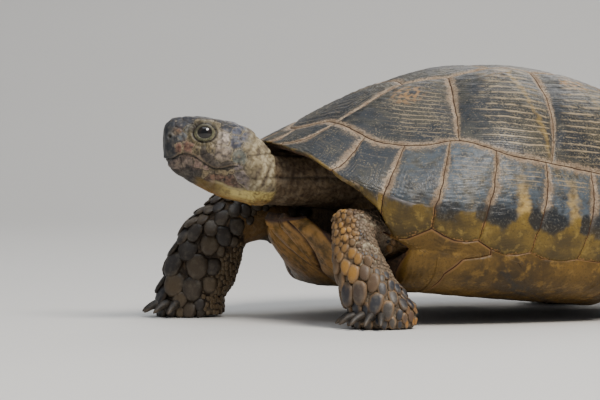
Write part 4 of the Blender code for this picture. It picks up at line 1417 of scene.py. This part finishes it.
def head_look(local, normal):
    """How far a point of the head moves out, its tone, and how pebbly it is."""
    warped = local + noise.noise_vector(local * 300) * 0.00060
    near = sorted(
        (((warped - place).length / size, place, size, tone, name) for place, size, tone, name in HEAD_SEEDS),
        key=lambda row: row[0],
    )[:3]
    first, place, size, _, name = near[0]
    second = near[1]
    edge = (second[0] - first) * (size + second[2]) / 2
    lift = -0.00030 * bell(edge, 0.00042) + 0.00030 * (1 - min(first, 1.0) ** 2)
    shift = noise.noise_vector(local * 520) * 0.55 + noise.noise_vector(local * 1300) * 0.35
    shares = [math.exp(-4.5 * (row[0] - first) + 1.6 * shift[index]) for index, row in enumerate(near)]
    tones = (Vector(row[3]) * share for row, share in zip(near, shares))
    colour = sum(tones, Vector((0, 0, 0))) / sum(shares)
    cloudy = noise.noise(local * 420 + place * 900)
    fine = noise.noise(local * 1250)
    colour = colour * (1 + 0.85 * cloudy + 0.75 * fine) + Vector((0.010, 0.008, 0.005)) * (0.5 + fine)
    stain = smooth_step(0.12, 0.42, noise.noise(local * 640 + Vector((9, 2, 5))))
    colour = blend(colour, (0.016, 0.014, 0.017), 0.65 * stain)
    scuffed = smooth_step(0.22, 0.45, noise.noise(local * 780 + Vector((1, 7, 3))))
    colour = blend(colour, (0.24, 0.19, 0.13), (0.15 if name == "brown" else 0.45) * scuffed)
    pebbly = 0.15
    beak = smooth_step(0.0050, 0.0022, local.x) * smooth_step(0.072, 0.076, local.z)
    colour = blend(colour, (0.018, 0.020, 0.024), 0.7 * beak)
    if name in ("cheek", "ear", "tan", "pale", "pink", "grey_highlight", "rose", "blue", "fold", "lilac"):
        lined = 0.5 + 0.5 * noise.noise(local * 350 + Vector((4, 4, 8)))
        colour = blend(colour, (0.33, 0.27, 0.155), lined * bell(edge - 0.00045, 0.00034) * (1 - beak))
    colour = blend(colour, (0.014, 0.010, 0.008), 0.85 * bell(edge, 0.00024) * (1 - beak))
    if name == "ear":
        lift -= 0.00035 * (1 - min(first, 1.0) ** 4)
        pebbly = 0.05
    if name == "black":
        lift = 0.00025 * (1 - min(first, 1.0) ** 2) - 0.0001 * bell(edge, 0.0004)
        pebbly = 0.0

    # The mouth: a narrow groove under the beak's edge, a thin pale lip, and a step back to the jaw.
    if local.x < 0.0325 and abs(local.z - 0.074) < 0.008:
        here = max(local.x, 0.0)
        slope = (eased(MOUTH_LINE, here + 0.0004) - eased(MOUTH_LINE, here - 0.0004)) / 0.0008
        off = (local.z - eased(MOUTH_LINE, here)) / math.hypot(1, slope)
        depth = mix(1.0, 0.45, smooth_step(0.018, 0.032, here))
        lift -= 0.00085 * depth * bell(off, 0.00034)
        lift += 0.00022 * bell(off - 0.0009, 0.0006) * depth
        to_jaw = smooth_step(0.0, -0.0009, off) * smooth_step(-0.0035, -0.0012, off)
        lift -= 0.00040 * to_jaw * smooth_step(0.021, 0.014, here)
        colour = blend(colour, (0.17, 0.12, 0.07), 0.55 * bell(off - 0.00085, 0.00035) * (1 - beak * 0.9))
        colour = blend(colour, (0.006, 0.005, 0.004), bell(off, 0.00036))
    # Lumps on the jaw, and the nostrils, painted black inside: painted shade in the holes.
    for (back, length), (up, height), swell in JAW_LUMPS:
        lift += swell * bell(local.x - back, length) * bell(local.z - up, height)
    nose = min((local - place).length for place in nostrils)
    lift -= 0.0012 * bell(nose, 0.00080)
    lift += 0.00028 * bell(nose - 0.0015, 0.0005)
    colour = blend(colour, (0.085, 0.088, 0.092), 0.3 * bell(nose - 0.0016, 0.0005))
    colour = blend(colour, (0.003, 0.003, 0.003), smooth_step(0.00125, 0.00070, nose))
    # The brow over the eye.
    brow = bell(local.x - 0.0185, 0.0060) * bell(local.z - 0.0935, 0.0013)
    lift += 0.00045 * brow * smooth_step(0.004, 0.008, abs(local.y))
    return lift, throat_tone(local, normal, colour), pebbly


def set_lids(local, lift, colour, normal):
    """Bends the skin by an eye over the eyeball: an opening, a pale rim, a deep fold and a soft one, both with
    painted shade.
    """
    across, above, arm, out = eye_measure(local)
    if out > 2.9:
        return None
    turn = math.atan2(above, across)
    rim = smooth_step(0.93, 1.05, out)
    ball = mix(0.0041, 0.00530, rim) + 0.00025 * bell(out - 1.17, 0.12)
    uneven = 0.65 + 0.7 * noise.noise(Vector((math.cos(turn), math.sin(turn), local.y * 50)) * 2.2)
    lift -= 0.00050 * bell(out - 1.62, 0.14) + 0.00026 * uneven * bell(out - 2.15 - 0.2 * uneven, 0.14)
    crinkle = 0.00005 * math.sin(turn * 30) * smooth_step(1.6, 1.9, out)
    lift += 0.00024 * uneven * bell(out - 1.92, 0.20) + crinkle
    on_ball = arm.normalized() * ball + eye_centres[1 if local.y > 0 else -1]
    place = on_ball.lerp(local + normal * lift, smooth_step(1.30, 1.52, out))
    shade = blend(colour, (0.105, 0.085, 0.042), smooth_step(2.5, 1.9, out) * 0.6)
    # Painted shade in the soft fold, then in the deep fold
    shade = blend(shade, (0.018, 0.013, 0.009), 0.8 * uneven * bell(out - 2.15 - 0.2 * uneven, 0.10))
    shade = blend(shade, (0.010, 0.008, 0.006), bell(out - 1.60, 0.17))
    lid = blend((0.065, 0.070, 0.042), (0.19, 0.175, 0.10), 0.5 + noise.noise(local * 1400))
    lid = blend(lid, (0.050, 0.042, 0.030), 0.65 * smooth_step(-0.0005, 0.0025, above))
    lid = blend(lid, (0.022, 0.018, 0.014), smooth_step(1.10, 0.98, out))
    shade = blend(shade, lid, smooth_step(1.46, 1.38, out))
    # Painted shade above the front of the eye, under the brow
    dusk = smooth_step(-0.0015, -0.0030, across) * smooth_step(0.0005, 0.0018, above)
    dusk *= smooth_step(1.2, 1.5, out) * smooth_step(2.3, 1.8, out)
    shade = blend(shade, (0.02, 0.015, 0.010), 0.8 * dusk)
    return place, shade


NECK_FOLDS = (0.0780, 0.0672)
FOLD_DEPTH = 0.0010
CAMERA_LEFT = Vector((-0.891, 0.454, 0))  # the side the near foreleg turns forward


def neck_look(point, local, normal):
    """Loose skin: two lengthwise folds with painted shade, fine creases across, cream in front, painted shell
    shadow under the shell.
    """
    along = point.x - STAND.x
    height = point.z
    lift = 0.0
    reach = smooth_step(-0.1125, -0.106, along)
    off_folds = [
        height - level - 0.0012 * noise.noise(Vector((along * 90, level * 100, 0))) for level in NECK_FOLDS
    ]
    for off in off_folds:
        lift -= FOLD_DEPTH * bell(off, 0.0007) * reach
        lift += 0.00045 * bell(off + 0.0022, 0.0016) * reach
    crossing = math.sin(along * 2600 + 5 * noise.noise(point * 120))
    lift += 0.00010 * crossing + 0.00022 * noise.noise(point * 420)
    lift -= 0.00030 * smooth_step(0.35, 0.75, noise.noise(Vector((along * 520, point.y * 160, height * 160))))
    # Where the neck goes under the shell: a step of the collar in front of it, and the painted shadow of the
    # shell behind it
    in_shell_shadow = smooth_step(-0.1086, -0.1066, along + 0.0026 * noise.noise(point * 110))
    lift += 0.0008 * (1 - in_shell_shadow)
    # Pale and dark streaks run down and forward over the loose skin behind the cheek
    across_streak = 0.9 * local.x - 0.45 * local.z
    along_streak = 0.45 * local.x + 0.9 * local.z
    streak = noise.noise(Vector((across_streak * 620, along_streak * 120, local.y * 120)))
    front = blend((0.165, 0.130, 0.072), (0.31, 0.255, 0.150), 0.5 + noise.noise(point * 300))
    front = blend(front, (0.43, 0.37, 0.24), 0.7 * smooth_step(0.10, 0.38, streak))
    front = blend(front, (0.085, 0.062, 0.046), 0.75 * smooth_step(-0.12, -0.40, streak))
    lift += 0.00022 * streak * (1 - in_shell_shadow)
    front = throat_tone(local, normal, front)
    # Behind the collar, the painted shadow of the shell: dark brown skin with its creases
    creased = 0.5 + noise.noise(point * 350) + 0.25 * crossing
    rear = blend((0.055, 0.032, 0.016), (0.125, 0.085, 0.046), creased)
    colour = blend(front, rear, in_shell_shadow)
    # Painted shade along the bottom of each fold
    for off in off_folds:
        colour = blend(colour, (0.035, 0.022, 0.012), 0.8 * bell(off, 0.0005))
    return lift, colour, 0.75


def limb_look(name, point, normal):
    """Hide between the scales: dark in the gaps, orange tan on the near foreleg, with pale raised veins;
    darker, partly as painted shade, on the far foreleg.
    """
    low = smooth_step(0.050, 0.020, point.z)
    mottled = noise.noise(point * 260)
    near = "left" in name
    if name == "trunk":
        colour = blend((0.060, 0.036, 0.016), (0.14, 0.085, 0.034), 0.5 + mottled)
        return 0.0006 * noise.noise(point * 110), colour, 0.8, 0.0012
    if near and name.startswith("fore"):
        base = blend((0.085, 0.064, 0.044), (0.190, 0.145, 0.098), 0.5 + mottled)
        front = smooth_step(-0.2, 0.5, normal.dot(CAMERA_LEFT))
        base = blend(base, (0.24, 0.120, 0.034), (1 - low) * 0.75 * front)
        vein = bell(noise.noise(point * 95), 0.055) * smooth_step(0.012, 0.022, point.z) * (1 - front)
        base = blend(base, (0.42, 0.36, 0.25), vein * 0.85)
        return 0.00045 * vein + 0.0004 * noise.noise(point * 330), base, 0.9, 0.0007
    if name.startswith("fore"):
        # The far foreleg's hide is darker than the near one's: partly its own tone, partly painted shade
        base = blend((0.018, 0.011, 0.007), (0.058, 0.036, 0.018), 0.5 + mottled)
        inner = smooth_step(0.1, -0.5, normal.dot(CAMERA_LEFT)) * (name == "foreleg_upper_right")
        base = blend(base, (0.17, 0.095, 0.032), 0.8 * inner)
        return 0.0004 * noise.noise(point * 300), base, 0.9 - 0.5 * inner, 0.0010
    base = blend((0.050, 0.034, 0.020), (0.125, 0.088, 0.052), 0.5 + mottled)
    return 0.0004 * noise.noise(point * 300), base, 0.9, 0.0008


THIN_SKIN = 0.0002
LEAST_HEIGHT = 0.0004
skin.normal_update()
tone_layer = skin.verts.layers.float_color.new("tone")
hide_layer = skin.verts.layers.float_color.new("hide")
moves = []
for vert in skin.verts:
    point = vert.co - vert.normal * CLOSING
    name = zone_names[zone_tree.find_nearest(point)[2]]
    local = in_head(point)
    wet = 0.0
    if name in ("head", "lower_jaw", "neck"):
        lift, colour, pebbly = neck_look(point, local, vert.normal)
        at_head = smooth_step(0.0415, 0.0345, local.x + 0.0012 * noise.noise(point * 300))
        if at_head > 0 and local.x < 0.045:
            head_lift, head_colour, head_pebbly = head_look(local, vert.normal)
            lift = mix(lift, head_lift, at_head)
            colour = blend(colour, head_colour, at_head)
            pebbly = mix(pebbly, head_pebbly, at_head)
            wet = at_head
        depth = THIN_SKIN
        out_of_head = head_axes.transposed() @ vert.normal
        placed = set_lids(local, lift, colour, out_of_head) if local.x < 0.03 else None
        if placed:
            moves.append((vert, from_head(placed[0])))
            vert[tone_layer] = (*placed[1], 1)
            vert[hide_layer] = (0.1, 1.0, 0, 1)
            continue
    else:
        lift, colour, pebbly, depth = limb_look(name, point, vert.normal)
    place = point + vert.normal * (lift - depth)
    place.z = max(place.z, LEAST_HEIGHT)
    moves.append((vert, place))
    vert[tone_layer] = (*colour, 1)
    vert[hide_layer] = (pebbly, wet, 0, 1)
for vert, place in moves:
    vert.co = place
skin.normal_update()

# Pebbly, dusty hide: a tone that varies a little, darker in its gaps, and a height for its relief.
hide_grain, hide_in, hide_out = group_of(
    "Hide Grain",
    (("Vector", "Vector", None), ("Tone", "Color", None), ("Pebbles", "Float", 0.5),
     ("Size", "Float", 900.0)),
    (("Color", "Color"), ("Height", "Float")),
)
hide_cells = add(
    hide_grain, "TexVoronoi", {"Vector": hide_in.outputs["Vector"], "Scale": hide_in.outputs["Size"]},
    feature="SMOOTH_F1",
)
hide_fine = clouds(hide_grain, hide_in.outputs["Vector"], 1900.0, 3.0, 0.6)
hide_wide = clouds(hide_grain, hide_in.outputs["Vector"], 300.0, 3.0, 0.6)
hide_between = ramp(hide_grain, hide_cells.outputs["Distance"], 0.30, 0.75)
hide_gap = times(hide_grain, hide_between, hide_in.outputs["Pebbles"])
hide_dark = add(hide_grain, "Mix", data_type="RGBA", blend_type="MULTIPLY")
feed(hide_grain, times(hide_grain, hide_gap, 0.9), hide_dark.inputs[0])
feed(hide_grain, hide_in.outputs["Tone"], hide_dark.inputs[6])
feed(hide_grain, (0.33, 0.27, 0.22, 1), hide_dark.inputs[7])
hide_pale = times(hide_grain, ramp(hide_grain, hide_wide, 0.45, 0.7), 0.10)
hide_light = paint(hide_grain, hide_pale, hide_dark.outputs[2], (0.42, 0.36, 0.26))
hide_specks = times(hide_grain, ramp(hide_grain, hide_fine, 0.55, 0.72), 0.35)
hide_spots = paint(hide_grain, hide_specks, hide_light, (0.018, 0.015, 0.012))
hide_grain.links.new(hide_spots, hide_out.inputs["Color"])
hide_height = maths(hide_grain, "SUBTRACT", times(hide_grain, hide_fine, 0.35), hide_gap)
hide_grain.links.new(hide_height, hide_out.inputs["Height"])


def hide_material(name, roughness, size, distance):
    """Skin or scale, painted by the tone at each point, with the Hide Grain group for its relief."""
    material, tree, shader = plain_material(name, roughness, 0.28)
    place = add(tree, "TexCoord").outputs["Object"]
    tone = add(tree, "Attribute", attribute_name="tone").outputs["Color"]
    pebbly, smooth, _ = carried(tree, "hide")
    grain = add(
        tree, "Group", {"Vector": place, "Tone": tone, "Pebbles": pebbly, "Size": size}, node_tree=hide_grain
    )
    tree.links.new(grain.outputs["Color"], shader.inputs["Base Color"])
    sheen = ramp(tree, smooth, 0.0, 1.0, roughness, roughness - 0.22)
    tree.links.new(sheen, shader.inputs["Roughness"])
    add_relief(tree, shader, grain.outputs["Height"], 0.8, distance)
    return material


skin_piece = piece_of("skin", skin, hide_material("dry_hide", 0.72, 900.0, 0.00025))
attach(skin_piece, "root")
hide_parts(*FLESH)

# ---------------------------------------------------------------- eyes
# Taxidermist's eyes of turned glass: a black pupil in a dark brown iris under a clear, slightly swelling
# front. Each is set behind the lids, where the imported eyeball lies.
eye_glass, eye_tree, eye_shader = plain_material("eye_glass", 0.10, 0.30)
eye_shader.inputs["Coat Weight"].default_value = 0.6
eye_shader.inputs["Coat Roughness"].default_value = 0.02
off_pupil, _, _ = carried(eye_tree, "iris")
eye_place = add(eye_tree, "TexCoord").outputs["Object"]
iris_flecks = clouds(eye_tree, eye_place, 2600.0, 3.0, 0.6)
iris = paint(eye_tree, ramp(eye_tree, iris_flecks, 0.40, 0.65), (0.005, 0.004, 0.004), (0.018, 0.011, 0.006))
iris = paint(eye_tree, ramp(eye_tree, off_pupil, 0.42, 0.36), iris, (0.002, 0.002, 0.002))
iris = paint(eye_tree, ramp(eye_tree, off_pupil, 0.74, 0.86), iris, (0.018, 0.014, 0.010))
eye_tree.links.new(iris, eye_shader.inputs["Base Color"])
for side, side_name in ((-1, "left"), (1, "right")):
    ball = bmesh.new()
    turn_out = gaze(side).to_track_quat("Z", "Y").to_matrix().to_4x4()
    bmesh.ops.create_uvsphere(ball, u_segments=48, v_segments=32, radius=EYE_RADIUS - EYE_SWELL)
    iris_layer = ball.verts.layers.float_color.new("iris")
    for vert in ball.verts:
        off_axis = math.hypot(vert.co.x, vert.co.y)
        share = off_axis / IRIS_REACH if vert.co.z > 0 else 1.0
        vert[iris_layer] = (min(share, 1.0), 0, 0, 1)
        if vert.co.z > 0:
            vert.co.z += EYE_SWELL * smooth_step(0.0030, 0.0, off_axis)
    ball.transform(turn_out)
    ball.transform(Matrix.Translation(eye_centres[side]))
    for vert in ball.verts:
        vert.co = from_head(vert.co)
    eyeball = piece_of(f"eyeball_{side_name}", ball, eye_glass)
    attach(eyeball, "root")
    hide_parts(f"eye_{side_name}")

# ---------------------------------------------------------------- scales of the legs, feet and tail
# Horny scales that overlap downwards like tiles: rounded and yellow down the front of the near foreleg, big
# dark ovals over the feet and the far foreleg, whose darkness is partly painted shade. Each is a small ball
# pressed into a pillow with an outline of its own, rooted in the hide at its upper end, and darkened underneath
# by painted shade.
SCALE_TILT = math.radians(9)
SCALE_ROOM = 0.84  # how close two scales stand, as a share of their mean width
WIDEST_PAIR = 0.016  # scales farther apart than this never touch
FLOOR_CLEAR = 0.0003
# What the shader reads on every scale, as on the skin: how pebbly it is and how smooth
SCALE_HIDE = (0.12, 0.55, 0, 1)
# The part of the colour picture that a coat has for itself: for one turn about, and for a metre of height
TILE_TURN = 0.23
TILE_HEIGHT = 3.4
TILE_SCALE = 0.0015


class Coat:
    """The scales of one limb: where they may grow, how large, and in which tones."""

    def __init__(self, name, zones, look, tile):
        self.name = name
        self.zones = zones
        self.look = look
        self.tile = tile


def near_foreleg_scale(point, normal, chance, shade):
    """Width, length for each unit of it, middle tone, edge tone and thickness; or None for bare hide."""
    facing = normal.dot(CAMERA_LEFT)
    height = point.z
    behind = mix(-0.80, -0.15, smooth_step(0.014, 0.040, height)) + 0.40 * noise.noise(point * 150)
    if facing < behind:
        if chance < 0.80 or height < 0.016:
            return None
        return 0.0013, 1.1, (0.15, 0.105, 0.068), (0.20, 0.14, 0.09), 0.20
    wide = mix(0.0044, 0.0018, smooth_step(0.015, 0.047, height)) * (0.78 + 0.45 * chance)
    wide *= mix(0.60, 1.10, smooth_step(behind, 0.5, facing))
    wide *= mix(0.62, 1.0, smooth_step(0.002, 0.013, height))
    long = mix(1.65, 1.15, smooth_step(0.018, 0.042, height))
    slate = blend((0.018, 0.023, 0.034), (0.072, 0.060, 0.048), shade)
    granule = blend((0.11, 0.075, 0.048), (0.28, 0.150, 0.052), shade)
    granular = smooth_step(0.032, 0.044, height) * smooth_step(-0.1, 0.5, facing + shade - 0.5)
    middle = blend(slate, granule, granular)
    yellow = bell(facing - 0.50, 0.38) * smooth_step(0.014, 0.024, height)
    middle = blend(middle, (0.37, 0.185, 0.036), yellow * (0.45 + 0.55 * shade))
    rim = blend((0.120, 0.080, 0.048), (0.26, 0.155, 0.075), shade)
    rear_toe = smooth_step(-0.4, -0.8, facing) * smooth_step(0.012, 0.006, height)
    middle = blend(middle, (0.30, 0.130, 0.020), rear_toe)
    return wide, long, middle, rim, 0.24


def far_foreleg_scale(point, normal, chance, shade):
    """Wide tiles, darker outward (painted shade) and tan inward (painted light); a few tan granules inside,
    bare above them.
    """
    facing = normal.dot(CAMERA_LEFT)
    height = point.z
    inner = smooth_step(0.0, -0.45, facing + 0.25 * noise.noise(point * 90))
    if inner > 0.6:
        if height > 0.030 + 0.008 * noise.noise(point * 80) or chance < 0.45:
            return None
        return 0.0018, 1.1, (0.095, 0.066, 0.036), (0.13, 0.09, 0.05), 0.18
    wide = mix(mix(0.0042, 0.0072, smooth_step(0.054, 0.026, height)), 0.0026, inner) * (0.75 + 0.50 * chance)
    wide *= mix(0.60, 1.0, smooth_step(0.002, 0.016, height))
    # Painted light and shade: tan towards the inner side, where the light falls, and dark slate towards the
    # outer face
    inward = smooth_step(0.95, 0.25, facing)
    middle = blend((0.014, 0.014, 0.018), (0.094, 0.066, 0.036), inward * (0.20 + 0.80 * shade))
    rim = blend((0.012, 0.009, 0.007), (0.046, 0.031, 0.018), shade)
    return wide, 1.20, middle, rim, 0.15


def hind_scale(point, normal, chance, shade):
    height = point.z
    forward = smooth_step(-0.3, 0.5, normal.dot(Vector((-1, 0, 0))))
    wide = mix(0.0024, 0.0040, forward) * mix(0.75, 1.0, smooth_step(0.002, 0.014, height))
    wide *= 0.85 + 0.3 * chance
    middle = blend((0.022, 0.020, 0.020), (0.090, 0.062, 0.034), shade)
    rim = blend((0.045, 0.030, 0.016), (0.13, 0.085, 0.038), shade)
    return wide, 1.2, middle, rim, 0.28


def tail_scale(point, normal, chance, shade):
    wide = mix(0.0014, 0.0024, smooth_step(0.004, 0.03, point.z))
    middle = blend((0.032, 0.026, 0.020), (0.085, 0.060, 0.034), shade)
    return wide, 1.15, middle, blend(middle, (0.2, 0.15, 0.08), 0.5), 0.26


def down_along(normal):
    """The way a scale points: down the limb, and out from it on the top of a foot."""
    way = Vector((0, 0, -1)) + Vector((normal.x, normal.y, 0)) * 0.35 + Vector((-0.12, 0, 0))
    way -= normal * way.dot(normal)
    return way.normalized()


def roots_of(coat, rng):
    """Places for a coat's scales, the largest first, each with a room of its own."""
    spots = []
    for place, normal, zone in skin_spots:
        if zone in coat.zones and place.z > 0.0020 and normal.z > -0.60:
            chance = rng.random()
            look = coat.look(place, normal, chance, rng.random())
            if look:
                wide = look[0] * (1 + 0.15 * rng.random())
                spots.append((wide, place, normal, down_along(normal), look))
    spots.sort(key=lambda spot: -spot[0])
    kept = []
    for spot in spots:
        wide, place, _, down, look = spot
        for other in kept:
            apart = place - other[1]
            if apart.length < WIDEST_PAIR:
                along = apart.dot(down)
                across = (apart - down * along).length
                if math.hypot(across, along / look[1]) < SCALE_ROOM * (wide + other[0]) / 2:
                    break
        else:
            kept.append(spot)
    return kept


def set_scale(coat_mesh, spot, tile, rng):
    """One pillow of horn: rooted at its upper end, lifted a little at its lower end."""
    wide, place, normal, down, (_, long, middle, rim, thick) = spot
    side = normal.cross(down).normalized()
    tilt = Matrix.Rotation(-SCALE_TILT, 3, side)
    down = tilt @ down
    out = side.cross(down)
    if out.dot(normal) < 0:
        out = -out
    half = wide * 0.56
    frame_of_scale = Matrix((down * half * long, side * half, out * half * thick * 2)).transposed()
    bm = bmesh.new()
    tone_of = bm.verts.layers.float_color.new("tone")
    hide_of = bm.verts.layers.float_color.new("hide")
    tile_of = bm.loops.layers.uv.new("OFBake")
    made = bmesh.ops.create_uvsphere(bm, u_segments=10, v_segments=6, radius=1)["verts"]
    turn = math.atan2(normal.y, normal.x) / math.tau + 0.5
    root = Vector((tile[0] + TILE_TURN * turn, tile[1] + TILE_HEIGHT * place.z))
    tall = mix(0.85, 1.25, rng.random())
    square = mix(0.70, 0.95, rng.random())
    lean = (rng.random() - 0.5) * 0.35
    spread = {}
    for vert in made:
        local = vert.co.copy()
        level = math.hypot(local.x, local.y)
        spread[vert] = local.xy
        local.x = math.copysign(abs(local.x) ** square, local.x)
        local.y = math.copysign(abs(local.y) ** square, local.y) * (1 - 0.16 * local.x) + lean * local.x
        local.z = max(local.z, -0.6) * tall
        if local.z > 0:
            local.z = local.z**0.75
        vert.co = place + frame_of_scale @ local + out * (half * thick * 0.35)
        vert.co.z = max(vert.co.z, FLOOR_CLEAR)
        patch = smooth_step(0.95, 0.62, level - 0.12 * local.x + 0.25 * noise.noise(vert.co * 900))
        tone = blend(rim, middle, patch)
        # Painted shade: each scale darkens towards its underside, where it meets the hide
        tone = blend(tone, (0.018, 0.013, 0.010), smooth_step(0.15, -0.5, local.z) * 0.75)
        vert[tone_of] = (*tone, 1)
        vert[hide_of] = SCALE_HIDE
    for vert in made:
        for loop in vert.link_loops:
            loop[tile_of].uv = root + TILE_SCALE * spread[vert]
    join_into(coat_mesh, bm)


skin_spots = []
for polygon in skin_piece.data.polygons:
    zone = zone_names[zone_tree.find_nearest(polygon.center)[2]]
    if zone.startswith(("fore", "hind", "tail")):
        skin_spots.append((polygon.center.copy(), polygon.normal.copy(), zone))
COATS = (
    Coat("scales_foreleg_near", ("foreleg_upper_left", "foreleg_lower_left", "forefoot_left"),
         near_foreleg_scale, (0.01, 0.01)),
    Coat("scales_foreleg_far", ("foreleg_upper_right", "foreleg_lower_right", "forefoot_right"),
         far_foreleg_scale, (0.26, 0.01)),
    Coat("scales_hindleg_near", ("hindleg_left", "hindfoot_left"), hind_scale, (0.51, 0.01)),
    Coat("scales_hindleg_far", ("hindleg_right", "hindfoot_right"), hind_scale, (0.76, 0.01)),
    Coat("scales_tail", ("tail",), tail_scale, (0.01, 0.51)),
)
scale_horn = hide_material("scale_horn", 0.55, 1100.0, 0.00015)
rng = random.Random(7)
for coat in COATS:
    bm = bmesh.new()
    for spot in roots_of(coat, rng):
        set_scale(bm, spot, coat.tile, rng)
    bm.normal_update()
    coat_piece = piece_of(coat.name, bm, scale_horn)
    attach(coat_piece, "root")
    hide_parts(*coat.zones)

# ---------------------------------------------------------------- claws
# Blunt curved claws, five on each forefoot and four on each hind foot, of dark horn worn pale at the tips.
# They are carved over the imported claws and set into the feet.
claw_horn, claw_tree, claw_shader = plain_material("claw_horn", 0.55)
claw_place = add(claw_tree, "TexCoord").outputs["Object"]
claw_worn, _, _ = carried(claw_tree, "worn")
claw_streaks = clouds(claw_tree, claw_place, 700.0, 3.0, 0.6, 1.0)
claw_light = ramp(claw_tree, claw_streaks, 0.35, 0.65)
claw_tone = paint(claw_tree, claw_light, (0.011, 0.009, 0.007), (0.040, 0.029, 0.019))
claw_tone = paint(claw_tree, times(claw_tree, claw_worn, 0.50), claw_tone, (0.11, 0.078, 0.048))
claw_tree.links.new(claw_tone, claw_shader.inputs["Base Color"])
add_relief(claw_tree, claw_shader, claw_streaks, 0.6, 0.0002)
CLAW_SETS = (("front_left", 5), ("front_right", 5), ("hind_left", 4), ("hind_right", 4))
for set_name, count in CLAW_SETS:
    bm = bmesh.new()
    names = [f"claw_{set_name}_{number}" for number in range(1, count + 1)]
    for name in names:
        claw = merged_copy(name)
        worn = claw.verts.layers.float_color.new("worn")
        lowest = min(vert.co.z for vert in claw.verts)
        highest = max(vert.co.z for vert in claw.verts)
        bmesh.ops.subdivide_edges(claw, edges=claw.edges, cuts=1, smooth=0.6, use_grid_fill=True)
        round_off(claw, claw.verts, 0.3, 2)
        for vert in claw.verts:
            down = (highest - vert.co.z) / (highest - lowest)
            vert[worn] = (smooth_step(0.55, 0.95, down), 0, 0, 1)
        join_into(bm, claw)
    claws = piece_of(f"claws_{set_name}", bm, claw_horn)
    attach(claws, "root")
    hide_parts(*names)
